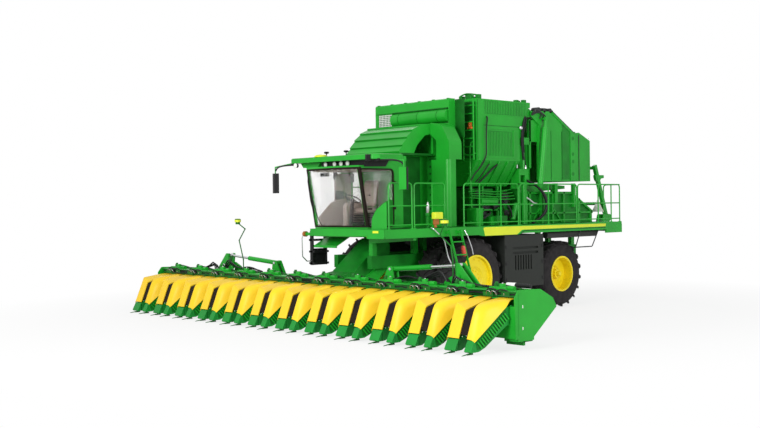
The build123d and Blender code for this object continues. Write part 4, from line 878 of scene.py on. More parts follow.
def rivetRows():
    for name, x, body in (("body", 1.502, "chassis"), ("gate", 1.492, "gate")):
        heads = [barRow(count, (s * x, y, z), step, rivet["size"], rivet["turn"])
                 for s in (1, -1) for y, z, count, step in rivet[name]]
        repeated(name + "Rivets", "greenPaint", "barRow", heads, 0, body)
    hinges = [barRow(3, (s * 2.003, y, 0.86), (0, 0, 0.40), (0.014, 0.03, 0.09)) for s in (1, -1)
              for y in (5.50, 6.90)]
    repeated("boxHinges", "blackPlastic", "barRow", hinges, 0.003)


ladder = {"x": 2.13, "topY": 3.46, "topZ": 1.87, "step": 0.30, "lean": 0.10, "tread": 0.34, "tube": 0.013,
          "grips": [[(2.06, 2.83, 2.20), (2.11, 2.86, 2.18), (2.13, 3.18, 1.94), (2.14, 3.30, 1.53),
                     (2.14, 3.40, 1.38)],
                    [(2.07, 3.93, 2.12), (2.12, 3.99, 1.98), (2.13, 4.12, 1.70), (2.13, 4.16, 1.55)]]}


def accessLadder():
    piece = Piece("ladderSides", "greenPaint")
    x, y, z = ladder["x"], ladder["topY"], ladder["topZ"]
    for dy in (-0.02, ladder["tread"] + 0.02):
        ends = ((-0.9, 0.27), (3.1, -3 * ladder["step"] - 0.03))
        piece.loft([[(x + dx, y + ladder["lean"] * lean + dy + w, z + dz)
                     for dx, w in ((-0.03, -0.012), (0.03, -0.012), (0.03, 0.012), (-0.03, 0.012))]
                    for lean, dz in ends])
        high = y - ladder["lean"] * 0.9 + dy
        piece.brick(deck["out"], x - 0.02, high - 0.02, high + 0.03, deck["top"] - 0.14, deck["top"] - 0.08)
    for i in range(4):
        y, z = ladder["topY"] + ladder["lean"] * i, ladder["topZ"] - ladder["step"] * i
        piece.brick(x - 0.06, x + 0.06, y, y + ladder["tread"], z - 0.02, z + 0.006)
    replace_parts(piece.done(0.004), "ladder")
    grips = Piece("ladderGrips", "brightSteel")
    for route in ladder["grips"]:
        grips.hose(rounded(route, 0.06), ladder["tube"], False)
    grips.done()
    hanger = rounded([(2.024, 8.56, 2.14), (2.024, 8.27, 1.56), (2.024, 9.00, 1.56), (2.024, 9.39, 2.14)],
                     0.03)
    step = Piece("rearStep", "darkSteel").hose(hanger, 0.014, False)
    step.brick(1.93, 2.03, 8.28, 8.99, 1.545, 1.568).done()


decks()
railings()
outriggers()
stripes()
deckTrim()
accessLadder()
tailLamps()
rivetRows()
print("platform made")


# Cab: seals, wiper, slim door, lining, seat, console and wheel
cab = {"half": 0.93, "frontY": 1.95, "browY": 1.70, "sill": 2.23, "head": 3.63, "bow": 0.13,
       # lower and upper height of the seals under and over the screen
       "seals": ((2.222, 2.262), (3.545, 3.592)),
       # the wiper's arm, blade and link: radius, then across, height and stand-off
       "wiper": [(0.010, [(-0.55, 2.27, 0.02), (-0.62, 2.40, 0.05), (-0.80, 2.95, 0.045)]),
                 (0.009, [(-0.82, 2.55, 0.03), (-0.80, 3.0, 0.028), (-0.78, 3.45, 0.03)]),
                 (0.011, [(-0.84, 3.52, 0.02), (-0.87, 3.30, 0.05), (-0.88, 2.85, 0.05),
                          (-0.86, 2.62, 0.03)])]}


def screenY(z):
    return cab["frontY"] - (cab["frontY"] - cab["browY"]) * (z - cab["sill"]) / (cab["head"] - cab["sill"])


def screenLine(x, z, out=0.0):
    bowRadius = (cab["half"] ** 2 + cab["bow"] ** 2) / (2 * cab["bow"])
    bulge = cab["bow"] - bowRadius + math.sqrt(bowRadius ** 2 - x ** 2)
    return x, screenY(z) - bulge - out, z


def seals():
    piece = Piece("cabSeals", "blackRubber")
    for low, high in cab["seals"]:
        piece.loft([[screenLine(x, low, -0.004), screenLine(x, low, 0.008), screenLine(x, high, 0.008),
                     screenLine(x, high, -0.004)] for x in (cab["half"] * (i / 12 - 1) for i in range(25))])
    for s in (1, -1):
        rings = []
        for z in (cab["seals"][0][0], cab["seals"][1][1]):
            y = screenY(z)
            rings.append([screenLine(s * 0.880, z, 0.007), (s * 0.936, y - 0.007, z),
                          (s * 0.936, y + 0.056, z), (s * 0.930, y + 0.056, z),
                          (s * 0.930, y - 0.001, z), screenLine(s * 0.880, z, -0.001)])
        piece.loft(rings)
    piece.done(0.002)
    wiper = Piece("screenWiper", "blackPlastic")
    for radius, route in cab["wiper"]:
        wiper.hose([screenLine(*point) for point in route], radius, False)
    wiper.done()


door = {"x0": 0.887, "x1": 0.924, "low": 2.212, "high": 3.568, "front": 1.972, "brow": 1.730, "post": 2.798,
        "rail": 0.034, "hinges": (2.62, 3.22), "panelX": (0.9035, 0.909), "panelY": 2.16, "panelZ": 2.245,
        "panelRadius": 0.60}


def doorRing(inset):
    front, brow, post = door["front"] + inset, door["brow"] + inset, door["post"] - inset
    low, high = door["low"] + inset, door["high"] - inset
    start = ((front + post) / 2, low)
    line = [start, (front, low), (brow, high), (post, high), (post, low), start]
    return spread(rounded(line, 0.05 if inset else 0.09, 8), 72)


def doorFrame():
    x0, x1 = door["x0"], door["x1"]
    piece = Piece("doorFrameSlim", "blackRubber", "cab_door")
    piece.loft([[(x0, oy, oz), (x1, oy, oz), (x1, iy, iz), (x0, iy, iz)]
                for (oy, oz), (iy, iz) in zip(doorRing(0), doorRing(door["rail"]))])
    for z in door["hinges"]:
        piece.turned((0.948, 2.81, z), (0, 0, 1), [(0, 0.016), (0.06, 0.016)], 12)
        piece.brick(0.92, 0.948, 2.752, 2.80, z, z + 0.06)
    piece.brick(0.924, 0.950, 1.955, 2.075, 2.62, 2.66)
    piece.turned((0.93, 2.00, 2.95), (1, 0, 0), [(0, 0.018), (0.03, 0.018)], 10)
    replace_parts(piece.done(0.002), "door_frame")
    y, z, r = door["panelY"], door["panelZ"], door["panelRadius"]
    arc = [(y + r * (1 - math.cos(a)), z + r * math.sin(a)) for a in (math.radians(9 * i) for i in range(11))]
    corners = [(2.765, z + r), (2.765, z)]
    Piece("doorPanel", "greenPaint", "cab_door").across(arc + corners, *door["panelX"]).done()


inside = {"half": 0.865, "floor": 2.125, "roof": (3.53, 3.575),
          "guard": [(2.02, 2.125), (2.00, 2.46), (2.40, 2.82), (2.96, 2.86), (2.96, 2.125)],
          # across, station, height, width and height of each screen
          "screens": [(-0.52, 1.90, 3.46, 0.30, 0.09), (-0.12, 1.88, 3.42, 0.09, 0.17),
                      (0.36, 1.98, 3.36, 0.10, 0.20), (-0.45, 2.30, 2.98, 0.28, 0.20)]}


def lining():
    half = inside["half"]
    piece = Piece("cabLining", "cabBeige")
    piece.brick(-half, half, 2.965, 3.015, inside["floor"], 2.53)
    piece.brick(-half, -0.815, 2.50, 3.01, 2.53, 3.50)
    piece.brick(0.815, half, 2.83, 3.01, 2.53, 3.50)
    piece.brick(-half, half, 1.84, 3.01, *inside["roof"])
    piece.across(inside["guard"], -half, -0.80).done(0.012)
    Piece("cabMat", "blackPlastic").brick(-0.80, half, 2.05, 2.96, 2.121, 2.132).done(0.003)
    screens = Piece("cabScreens", "blackPlastic")
    for x, y, z, w, h in inside["screens"]:
        screens.brick(x - w / 2, x + w / 2, y, y + 0.04, z - h / 2, z + h / 2)
    screens.done(0.008)


cushion = {"steps": 14, "channel": 0.05, "channelAt": 0.58, "channelWide": 0.05, "pinch": 0.035, "fill": 0.8,
           # centre, size, turn and crown
           "seatCushion": ((0, 2.645, 2.60), (0.52, 0.48, 0.13), 4, 0.15),
           "seatBack": ((0, 2.895, 3.00), (0.50, 0.66, 0.12), 79, 0.2)}


def cushionPiece(name):
    centre, size, turn, crown = cushion[name]
    steps = cushion["steps"]
    places = [2 * i / steps - 1 for i in range(steps + 1)]
    rows = []
    for u in places:
        row = []
        for v in places:
            full = ((1 - u ** 6) * (1 - v ** 6)) ** 0.4 * (1 + crown * (1 - u * u) * (1 - v * v))
            off = (abs(u) - cushion["channelAt"]) / cushion["channelWide"]
            seam = cushion["channel"] * math.exp(-off ** 2)
            pinch = 1 - cushion["pinch"] * abs(u * v) ** 3
            row.append((u * pinch * size[0] / 2, v * pinch * size[1] / 2, (full - seam) * size[2] / 2))
        rows.append(row)
    mesh = bmesh.new()
    turned = Matrix.Rotation(math.radians(turn), 3, "X")
    for sign in (1, -1):
        layer = [[mesh.verts.new(Vector(centre) + turned @ Vector((x, y, sign * z))) for x, y, z in row]
                 for row in rows]
        for i in range(steps):
            for j in range(steps):
                mesh.faces.new((layer[i][j], layer[i + 1][j], layer[i + 1][j + 1], layer[i][j + 1]))
    bmesh.ops.remove_doubles(mesh, verts=mesh.verts, dist=0.0015)
    bmesh.ops.recalc_face_normals(mesh, faces=mesh.faces)
    data = bpy.data.meshes.new(name)
    mesh.to_mesh(data)
    mesh.free()
    obj = finishPiece(data, name, "seatCloth", angle=80, subdivide=1)
    return obj


steering = {"foot": (0, 2.25, 2.12), "hub": (0, 2.34, 2.88), "lean": -28, "radius": 0.19, "rim": 0.015,
            "spokeLong": 0.18, "spoke": 0.012,
            "column": [(0, 0.09), (0.03, 0.085), (0.05, 0.05), (0.60, 0.042), (0.74, 0.05), (0.765, 0.04)]}


def operatorStation():
    seat = cushionPiece("seatCushion")
    cushionPiece("seatBack")
    base = Piece("seatBase", "greyPanel").brick(-0.20, 0.20, 2.47, 2.86, 2.12, 2.30)
    for k in range(4):
        base.brick(-0.19 + 0.005 * k, 0.19 - 0.005 * k, 2.48, 2.85, 2.30 + 0.055 * k, 2.34 + 0.055 * k)
    base.brick(-0.22, 0.22, 2.46, 2.87, 2.515, 2.545).done(0.012)
    console = [(2.40, 2.125), (2.38, 2.70), (2.45, 2.79), (2.86, 2.80), (2.88, 2.74), (2.88, 2.125)]
    Piece("armConsole", "cabBeige").across(console, -0.42, -0.29).done(0.02)
    lever = Piece("driveLever", "blackPlastic")
    lever.hose([(-0.355, 2.50, 2.79), (-0.355, 2.47, 2.88), (-0.35, 2.44, 2.96)], 0.014)
    lever.turned((-0.35, 2.44, 2.95), (0, -0.3, 1), [(0, 0.02), (0.02, 0.034), (0.08, 0.032), (0.10, 0)], 14)
    lever.turned(steering["foot"], (0, 0.1, 0.98), steering["column"])
    hub, tilt = Vector(steering["hub"]), Matrix.Rotation(math.radians(steering["lean"]), 3, "X")
    ring = [hub + tilt @ Vector((math.cos(a), math.sin(a), 0)) * steering["radius"]
            for a in (2 * math.pi * i / 24 for i in range(25))]
    lever.hose(ring, steering["rim"], False)
    for a in radians((90, 210, 330)):
        end = hub + tilt @ Vector((math.cos(a), math.sin(a), 0)) * steering["spokeLong"]
        lever.stick(hub - Vector((0, 0, 0.015)), end, steering["spoke"])
    lever.done()
    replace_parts(seat, "operator_station")


seals()
doorFrame()
lining()
operatorStation()
print("cab made")


roof = {"lamps": [(-0.38, 1.836, 3.692, 0.058), (-0.06, 1.836, 3.692, 0.058), (0.17, 1.836, 3.692, 0.058),
                  (0.40, 1.836, 3.692, 0.058), (-1.28, 1.652, 3.695, 0.060)],
        "receiver": (-0.46, 1.76, 3.868), "aerials": (-0.42, 0.28), "beam": (1.755, 2.06)}


def roofTrim():
    lenses = Piece("roofLenses", "whitePlastic")
    for x, y, z, r in roof["lamps"]:
        lenses.turned((x, y, z), (0, -1, 0), [(0, r), (0.012, r), (0.024, 0.040), (0.028, 0)], 20)
    lenses.done(0, 60)
    dome = [(0, 0.15), (0.025, 0.155), (0.05, 0.11), (0.058, 0.05), (0.060, 0)]
    Piece("roofReceiver", "stripeYellow").turned(roof["receiver"], (0, 0, 1), dome, 24).done(0, 60)
    arm = [(1.50, 1.77, 3.72), (1.85, 1.74, 3.72), (2.20, 1.79, 3.68), (2.25, 1.80, 3.60)]
    bracket = Piece("mirrorBrackets", "blackPlastic").brick(1.40, 1.56, 1.72, 1.80, 3.70, 3.76)
    bracket.hose(arm, 0.020).twin().done(0.006)
    Piece("mirrorCover", "greenPaint").brick(2.158, 2.382, 1.752, 1.760, 3.055, 3.545).done(0.003)
    Piece("mirrorFaces", "brightSteel").brick(2.175, 2.365, 1.834, 1.838, 3.07, 3.52).twin().done(0.001)
    caps = Piece("aerialCaps", "blackPlastic")
    for x in roof["aerials"]:
        caps.turned((x, 1.90, 3.945), (0, 0, 1),
                    [(0, 0.02), (0.012, 0.055), (0.030, 0.062), (0.050, 0.05), (0.055, 0)])
    caps.done(0, 50)
    y, z = roof["beam"]
    sleeve = [(0, 0.066), (0.07, 0.066), (0.072, 0.05)]
    Piece("beamSleeve", "bracketBrown").turned((-1.035, y, z), (-1, 0, 0), sleeve, 20).done()
    lens = [(0, 0.055), (0.02, 0.052), (0.034, 0.03), (0.036, 0)]
    Piece("beamLenses", "lampAmber").turned((1.108, y, z), (1, 0, 0), lens, 20).twin().done(0, 60)


roofTrim()
print("roof made")


# Bodywork: knobs, seams, ribs, intake, tower recess, roof ladder and roof crest
body = {
    "knobs": {"count": 6, "x": -1.42, "pitch": 0.49},
    # count, start, step, size: the ribs stand on both sides
    "ribs": [(26, (1.502, 5.36, 5.09), (0, 0.062, 0), (0.010, 0.026, 0.30)),
             (15, (1.502, 5.52, 4.20), (0, 0.058, 0), (0.010, 0.026, 0.60))],
    "intake": [(9, (-1.34, 4.492, 4.88), (0.055, 0, 0), (0.012, 0.010, 0.30)),
               (7, (-1.12, 4.488, 4.745), (0, 0, 0.045), (0.46, 0.008, 0.012))],
    "recess": [(9, (0.80, 4.266, 2.45), (0, 0, 0.17), (0.30, 0.012, 0.05)),
               (14, (0.565, 3.65, 2.45), (0, 0, 0.10), (0.014, 0.70, 0.03))],
    "rungs": [(7, (1.295, 4.98, 3.92), (0, 0, 0.20), (0.33, 0.030, 0.030)),
              (6, (1.22, 4.95, 2.30), (0, 0, 0.29), (0.30, 0.022, 0.022))],
    # across, station, half side and height of each cap and eye on the roof
    "crest": [(0.95, 5.14, 0.06, 0.09), (1.10, 5.20, 0.06, 0.13), (1.26, 5.12, 0.06, 0.10),
              (1.38, 5.26, 0.06, 0.12), (1.18, 5.30, 0.06, 0.08), (1.30, 6.80, 0.05, 0.075),
              (1.20, 6.98, 0.05, 0.075), (1.42, 6.95, 0.05, 0.075)],
    "crestHose": [(0.90, 5.10, 5.36), (1.05, 5.10, 5.43), (1.25, 5.16, 5.42), (1.40, 5.30, 5.38)],
}


def bodyRow(name, finish, rows, bevel=0.0):
    repeated(name, finish, "barRow", [barRow(*row) for row in rows], bevel)


def bodyTrim():
    knobs = Piece("roofKnobs", "greenPaint")
    for i in range(body["knobs"]["count"]):
        x = body["knobs"]["x"] + body["knobs"]["pitch"] * i
        knobs.turned((x, 4.56, 5.288), (0, 0, 1), [(0, 0.05), (0.012, 0.04), (0.016, 0)], 12)
    knobs.done()
    seams = Piece("bodySeams", "shadeAndSeamGreen").brick(1.498, 1.504, 5.30, 6.66, 4.640, 4.656)
    seams.brick(1.498, 1.504, 5.075, 5.090, 3.80, 5.27).twin().brick(-1.49, 1.05, 4.494, 4.501, 5.052, 5.066)
    for x in (-0.599, 0.076, 0.746):
        seams.turned((x, 4.56, 4.88), (1, 0, 0), [(0, 0.152), (0.018, 0.152)], 40)
    seams.done()
    mirrored = [(count, (s * x, y, z), step, size)
                for s in (1, -1) for count, (x, y, z), step, size in body["ribs"]]
    bodyRow("sideRibs", "greenPaint", mirrored, 0.003)
    # Darkened plates behind the side ribs: painted shade between the ribs.
    panels = Piece("ribGapShade", "shadedGreen").brick(1.499, 1.5015, 5.48, 6.38, 3.88, 4.52)
    panels.brick(1.499, 1.5015, 5.33, 6.94, 4.93, 5.25).twin().done()
    bodyRow("intakeMesh", "whitePlastic", body["intake"])
    # A dark plate behind the intake mesh: painted shade inside the intake.
    Piece("intakeShade", "shadeAndSeamGreen").brick(-1.37, -0.90, 4.494, 4.5, 4.71, 5.04).done()
    # Ribs in the tower recess, in the darkened green: painted shade of the recess.
    bodyRow("recessRibs", "shadeAndSeamGreen", body["recess"])
    shade = Piece("recessShade", "shadeAndSeamGreen").brick(0.890, 0.9035, 3.04, 4.12, 3.896, 3.944)
    shade.brick(0.562, 0.568, 3.26, 4.02, 2.24, 3.88).done()
    # Dark plates on the builder's front behind the roof ladder: painted shade.
    ladderShadePlates = Piece("ladderShade", "shadeAndSeamGreen").brick(0.80, 1.44, 5.052, 5.060, 3.84, 5.22)
    ladderShadePlates.brick(1.10, 1.40, 4.722, 4.730, 4.34, 5.27).done()
    rungs = Piece("roofLadder", "greenPaint")
    for x in (1.13, 1.46):
        rungs.stick((x, 4.98, 3.80), (x, 4.98, 5.22), 0.020)
        for z in (3.95, 5.12):
            rungs.stick((x, 4.98, z), (x, 5.06, z), 0.014)
    rungs.done()
    bodyRow("ladderRungs", "greenPaint", body["rungs"], 0.003)
    crest = Piece("roofCrest", "shadedGreen")
    for x, y, half, high in body["crest"]:
        crest.brick(x - 0.05, x + 0.05, y - half, y + half, 5.285, 5.285 + high)
    crest.hose(body["crestHose"], 0.02).done(0.008)
    beacon = Piece("beaconBracket", "lampAmber").brick(1.24, 1.40, 4.99, 5.058, 4.55, 4.60)
    beacon.brick(1.28, 1.34, 4.98, 5.058, 4.60, 4.72).done(0.008)


# Hoses, pipes and fittings on the builder's side: radius and route
sideHoses = [
    (0.018, [(1.50, 5.42, 4.86), (1.55, 5.40, 4.84), (1.56, 5.34, 4.60), (1.56, 5.33, 4.1),
             (1.56, 5.33, 3.88), (1.52, 5.16, 3.62), (1.40, 5.02, 3.42), (1.35, 5.00, 3.30)]),
    (0.016, [(1.50, 5.50, 3.70), (1.48, 5.40, 3.60), (1.40, 5.30, 3.40), (1.30, 5.20, 3.25)]),
    (0.022, [(1.45, 5.90, 3.72), (1.42, 5.75, 3.62), (1.30, 5.55, 3.38), (1.20, 5.40, 3.22)]),
    (0.030, [(1.42, 6.92, 5.0), (1.50, 6.90, 4.92), (1.53, 6.78, 4.70), (1.53, 6.72, 4.40), (1.50, 6.80, 3.9),
             (1.46, 6.92, 3.62)]),
    (0.024, [(1.40, 7.02, 5.0), (1.49, 6.98, 4.86), (1.52, 6.84, 4.66), (1.52, 6.78, 4.40), (1.49, 6.86, 3.9),
             (1.44, 6.98, 3.62)]),
]
sidePipes = [
    (0.018, [(1.30, 5.03, 3.05), (1.30, 5.02, 3.6), (1.30, 5.02, 4.1), (1.34, 5.02, 4.22),
             (1.42, 5.03, 4.24)]),
    (0.020, [(1.49, 6.84, 2.19), (1.49, 6.84, 3.20)]),
    (0.026, [(1.49, 6.84, 3.60), (1.49, 6.84, 4.24)]),
]


def sideLines():
    dark = Piece("bodyHoses", "blackPlastic")
    for radius, route in sideHoses:
        dark.hose(route, radius)
    for k in range(4):
        dark.hose([(1.46 - 0.03 * k, 7.00, 3.30), (1.50 - 0.02 * k, 7.16 + 0.02 * k, 3.26),
                   (1.58 - 0.03 * k, 7.52 + 0.05 * k, 3.0), (1.60 - 0.03 * k, 7.66 + 0.06 * k, 2.66),
                   (1.56 - 0.03 * k, 7.50 + 0.05 * k, 2.36), (1.48, 7.20, 2.22)], 0.030)
    dark.done()
    pipes = Piece("bodyPipes", "greenPaint")
    for radius, route in sidePipes:
        pipes.hose(route, radius, False)
    pipes.done()
    bright = Piece("bodyFittings", "brightSteel")
    bright.turned((1.46, 6.93, 3.60), (0, 0, 1), [(0, 0.045), (0.05, 0.045), (0.055, 0.034), (0.09, 0.034)],
                  12)
    bright.turned((1.50, 6.70, 4.63), (1, 0, 0),
                  [(0, 0), (0.005, 0.035), (0.03, 0.05), (0.055, 0.035), (0.06, 0)], 14)
    bright.hose([(1.40, 6.98, 2.90), (1.44, 7.12, 2.82), (1.46, 7.28, 2.72)], 0.022)
    bright.hose([(1.40, 7.22, 2.66), (1.46, 7.34, 2.74), (1.46, 7.44, 2.70)], 0.020)
    bright.turned((1.42, 6.66, 3.62), (0, 0, 1), [(0, 0.02), (0.14, 0.02), (0.15, 0.03), (0.19, 0)],
                  10).done()


bay = {
    # pairs of pulleys that share a belt: x, then station, height and radius of each
    "pulleys": [(1.060, (5.56, 2.96, 0.11), (5.90, 2.70, 0.17)),
                (1.190, (6.44, 2.86, 0.15), (6.50, 2.48, 0.09))],
    "beltOut": 0.015, "beltOver": 0.005, "belt": 0.011,
    "hoses": [(0.022, [(1.02, 5.36, 2.25), (1.25, 5.42, 2.30), (1.34, 5.62, 2.44), (1.24, 5.86, 2.52),
                       (1.02, 6.0, 2.50)]),
              (0.018, [(1.02, 5.34, 2.35), (1.22, 5.50, 2.60), (1.30, 5.80, 2.80), (1.16, 6.10, 2.92),
                       (1.02, 6.18, 2.95)]),
              (0.020, [(1.12, 6.60, 2.30), (1.35, 6.56, 2.36), (1.40, 6.40, 2.60), (1.28, 6.30, 2.80),
                       (1.12, 6.34, 2.90)])],
    # x, station and height of the posts, bars and boxes, low and high
    "frames": [(1.06, 1.12, 5.24, 5.29, 2.19, 3.16), (1.06, 1.12, 5.66, 5.71, 2.19, 3.16),
               (1.06, 1.12, 6.24, 6.29, 2.19, 3.16), (1.06, 1.12, 5.24, 6.29, 2.55, 2.59),
               (1.10, 1.42, 5.10, 5.34, 2.19, 2.62), (1.12, 1.40, 5.66, 5.98, 2.19, 2.40),
               (1.30, 1.36, 7.10, 7.16, 2.19, 3.04), (1.30, 1.44, 7.62, 7.70, 2.19, 3.03),
               (1.22, 1.27, 7.45, 8.60, 2.90, 2.96), (1.20, 1.26, 8.30, 8.38, 2.19, 3.08)],
}


def beltLine(first, second):
    (y0, z0, r0), (y1, z1, r1) = ((y, z, r + bay["beltOver"]) for y, z, r in (first, second))
    lean = math.atan2(z1 - z0, y1 - y0)
    leave = math.acos((r0 - r1) / math.hypot(y1 - y0, z1 - z0))
    line = []
    for y, z, r, a0, a1 in ((y0, z0, r0, leave, 2 * math.pi - leave), (y1, z1, r1, -leave, leave)):
        angles = [lean + a0 + (a1 - a0) * i / 12 for i in range(13)]
        line += [(y + r * math.cos(a), z + r * math.sin(a)) for a in angles]
    return line + line[:1]


def bayMachinery():
    dark, belts = Piece("bayMachinery", "darkSteel"), Piece("driveBelts", "blackRubber")
    for x, *pair in bay["pulleys"]:
        for y, z, r in pair:
            rows = [(0, r), (0.012, r), (0.018, r - 0.03), (0.03, r - 0.03), (0.036, 0.04), (0.06, 0.035)]
            dark.turned((x, y, z), (1, 0, 0), rows, 28)
        belts.hose([(x + bay["beltOut"], y, z) for y, z in beltLine(*pair)], bay["belt"], False)
    dark.turned((1.02, 5.42, 2.45), (0, 1, 0), [(0, 0.10), (0.02, 0.12), (0.38, 0.12), (0.40, 0.10)], 20)
    dark.turned((1.10, 6.02, 2.62), (0, 0.9, 0.35), [(0, 0.06), (0.02, 0.085), (0.30, 0.085), (0.32, 0.06)],
                18)
    for radius, route in bay["hoses"]:
        dark.hose(route, radius)
    dark.done(0, 40)
    green = Piece("bayFrames", "greenPaint")
    for corners in bay["frames"]:
        green.brick(*corners)
    green.turned((1.24, 5.42, 2.78), (0, 1, 0), [(0, 0.08), (0.02, 0.10), (0.60, 0.10), (0.62, 0.08)], 18)
    green.turned((1.28, 6.62, 2.30), (0, 0.4, 1), [(0, 0.06), (0.02, 0.075), (0.44, 0.075), (0.46, 0.05)])
    for k in range(4):
        green.hose([(1.16 + 0.05 * k, 5.10, 3.02 - 0.05 * k), (1.18 + 0.05 * k, 5.5, 3.06 - 0.07 * k),
                    (1.20 + 0.05 * k, 6.1, 3.0 - 0.06 * k), (1.22 + 0.04 * k, 6.66, 3.08 - 0.08 * k)], 0.013)
    green.done(0.006)
    belts.done()


cradle = {"x": 1.34, "y0": 7.14, "y1": 9.95, "slopeY": 9.00, "low": 2.19, "high": 3.02,
          "sheet": 0.02, "rib": 0.07,
          # station and top of each rib
          "ribs": [(7.18, 3.02), (7.66, 3.02), (8.14, 3.02), (8.62, 3.02), (9.30, 2.84), (9.84, 2.52)],
          "rollers": (7.45, 7.95, 8.45), "slats": (-1.0, -0.5, 0.0, 0.5, 1.0),
          # station and height, low and high, of the posts between builder and gate
          "posts": [(7.12, 7.60, 4.30, 4.86), (7.12, 7.20, 3.62, 4.86), (7.50, 7.60, 3.32, 4.86)]}


def cradleSides():
    c = cradle
    x, low, high, y0, y1, slope = (c[key] for key in ("x", "low", "high", "y0", "y1", "slopeY"))
    out = x + 0.05
    # The cradle's inner panels, rollers and slats take the darkened green: painted shade inside the cradle.
    deep = Piece("cradlePanels", "shadedGreen")
    deep.across([(y0, low), (y0, high), (slope, high), (y1, 2.46), (y1, low)], x - c["sheet"], x).twin()
    green = Piece("cradleSides", "greenPaint")
    for y, top in c["ribs"]:
        green.brick(x, out, y, y + c["rib"], low, top)
    green.brick(x, out, y0, slope + 0.02, high - 0.06, high).brick(x, out, y0, y1, low + 0.24, low + 0.29)
    green.across([(slope, high), (y1, 2.50), (y1, 2.44), (slope, high - 0.06)], x, out)
    green.across([(7.25, low), (7.60, 2.60), (7.66, 2.60), (7.31, low)], x, out)
    green.across([(8.60, low), (8.20, 2.60), (8.14, 2.60), (8.54, low)], x, out)
    for post in c["posts"]:
        green.brick(1.38, 1.45, *post)
    green.twin()
    for x0, x1 in ((x, out + 0.05), (-out, 0.05 - x)):
        green.brick(x0, x1, 8.20, 8.32, high - 0.30, 3.24)
        green.brick(x0, x1, 9.02, 9.10, 2.60, 3.24)
    green.done(0.006)
    for y in c["rollers"]:
        deep.turned((-1.30, y, 2.86), (1, 0, 0), [(0, 0.09), (2.60, 0.09)])
    for x in c["slats"]:
        deep.brick(x - 0.03, x + 0.03, 7.16, 9.20, 2.60, 2.74)
    deep.brick(-1.30, 1.30, 9.88, 9.94, low, 2.46).brick(-1.30, 1.30, 7.16, 7.22, low, 3.00).done(0.004)


# Station and height of the louvres' lower edges
louvres = [(3.01, 3.96), (3.12, 4.11), (3.27, 4.30), (3.45, 4.47), (3.70, 4.605)]


def louvreShades():
    piece = Piece("louvreShades", "shadeAndSeamGreen")
    for start, end in zip(louvres, louvres[1:]):
        start, end = Vector(start), Vector(end)
        back = (end - start).normalized() * 0.045
        out = Vector((-back[1], back[0])).normalized()
        corners = [end - back + out * 0.003, end + out * 0.003, end - out * 0.008, end - back - out * 0.008]
        piece.across(corners, -0.944, 0.894)
    piece.done()


gate = {"holeY": 8.91, "holes": (3.49, 3.82, 4.02, 4.44),
        # station, height, radius and length of the rollers on top
        "rollers": [(7.50, 5.13, 0.075, 0.22), (7.72, 5.12, 0.06, 0.30), (7.98, 5.13, 0.07, 0.18)],
        "hose": [(1.46, 7.30, 5.05), (1.47, 7.42, 5.16), (1.44, 7.6, 5.17), (1.45, 7.9, 5.18),
                 (1.46, 8.10, 5.13)]}


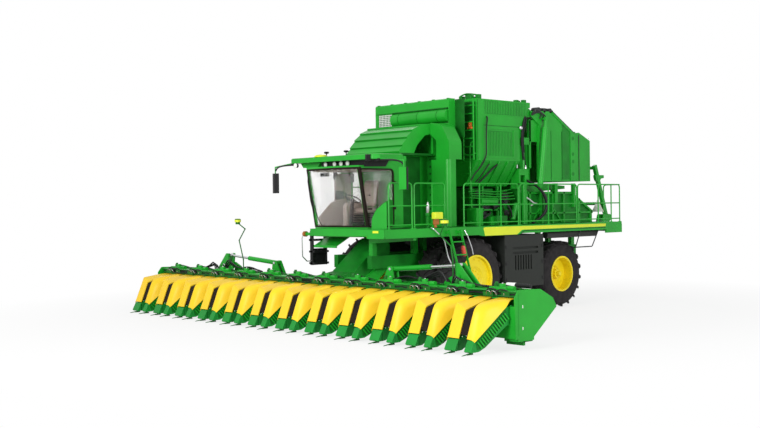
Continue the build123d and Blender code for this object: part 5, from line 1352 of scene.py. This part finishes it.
def gateTrim():
    rims = Piece("gateRims", "darkSteel", "gate")
    rims.across([(8.058, 5.118), (8.995, 4.587), (8.995, 4.568), (8.055, 5.098)], 1.475, 1.513)
    rims.brick(1.498, 1.503, 9.17, 9.20, 3.31, 4.55).twin().done(0.003)
    dark = Piece("gateMachinery", "darkSteel", "gate")
    for y, z, r, length in gate["rollers"]:
        dark.turned((1.49, y, z), (-1, 0, 0),
                    [(0, r - 0.01), (0.01, r), (length - 0.01, r), (length, r - 0.01)], 18)
    dark.hose(gate["hose"], 0.02)
    for k in range(3):
        dark.hose([(1.50, 7.16 + 0.02 * k, 4.98), (1.54, 7.22 + 0.05 * k, 5.10 - 0.02 * k),
                   (1.55, 7.42 + 0.07 * k, 5.12 - 0.03 * k), (1.54, 7.56 + 0.10 * k, 5.00 - 0.04 * k),
                   (1.49, 7.50 + 0.12 * k, 4.90 - 0.05 * k)], 0.016)
    dark.done()
    seams = [barRow(2, (s * 1.4915, 7.98, 3.96), (0, 0.46, 0), (0.006, 0.02, 1.30)) for s in (1, -1)]
    repeated("gateSeams", "shadeAndSeamGreen", "barRow", seams, body="gate")
    # A darkened band and dark discs on the gate's holes are painted shade, and the black discs inside the
    # holes are painted shade in them too.
    bands = Piece("gateShadeBands", "shadedGreen", "gate")
    bands.across([(8.46, 3.34), (8.46, 4.80), (8.78, 4.63), (8.78, 3.34)], 1.488, 1.4945)
    holeShades = Piece("gateHoleShades", "blackPlastic", "gate")
    for z in gate["holes"]:
        bands.turned((1.506, gate["holeY"], z), (1, 0, 0), [(0, 0.052), (0.004, 0.052)])
        holeShades.turned((1.44, gate["holeY"], z), (1, 0, 0), [(0, 0.034), (0.05, 0.034)])
    bands.twin().done()
    holeShades.twin().done()


bodyTrim()
sideLines()
bayMachinery()
cradleSides()
louvreShades()
gateTrim()
print("bodywork made")


# Under the cab: the folded ladder, its rail and the perforated step plate
underCab = {"rail": [(-1.12, 1.74, 2.10), (-1.16, 1.72, 1.95), (-1.17, 1.74, 1.52), (-1.15, 1.86, 1.40),
                     (-1.14, 1.98, 1.40)],
            "plate": [(1.98, 1.76), (2.40, 1.97), (2.394, 1.985), (1.974, 1.775)], "holeRows": 5,
            "holeTurn": (26.6, 0, 0)}


def underCabTrim():
    dark = Piece("frontLadder", "blackPlastic")
    for y in (1.98, 2.40):
        dark.brick(-1.18, -1.08, y, y + 0.045, 1.30, 2.13)
    for z in (1.32, 1.60, 1.88):
        dark.brick(-1.22, -1.02, 1.98, 2.445, z, z + 0.05)
    dark.brick(-1.12, -1.10, 2.02, 2.40, 1.30, 1.70).brick(-1.14, -0.92, 2.02, 2.08, 2.00, 2.13).done(0.006)
    Piece("frontLadderRail", "brightSteel").hose(underCab["rail"], 0.014, False).done()
    plate = Piece("stepPlate", "greenPaint").across(underCab["plate"], -1.02, -0.20)
    for x in (-1.00, -0.60, -0.24):
        plate.across([(2.36, 1.95), (2.40, 1.97), (2.40, 2.12), (2.36, 2.12)], x, x + 0.03)
    plate.brick(-1.02, -0.20, 1.97, 2.00, 1.73, 1.79).done(0.004)
    # Dark slots in the step plate stand for its holes: painted shade seen through them.
    holes = [barRow(12, (-0.95, 2.03 + 0.076 * i, 1.800 + 0.038 * i), (0.062, 0, 0), (0.030, 0.040, 0.004),
                    underCab["holeTurn"]) for i in range(underCab["holeRows"])]
    repeated("stepHoleShades", "shadeAndSeamGreen", "barRow", holes, 0.001)


underCabTrim()
print("under the cab made")
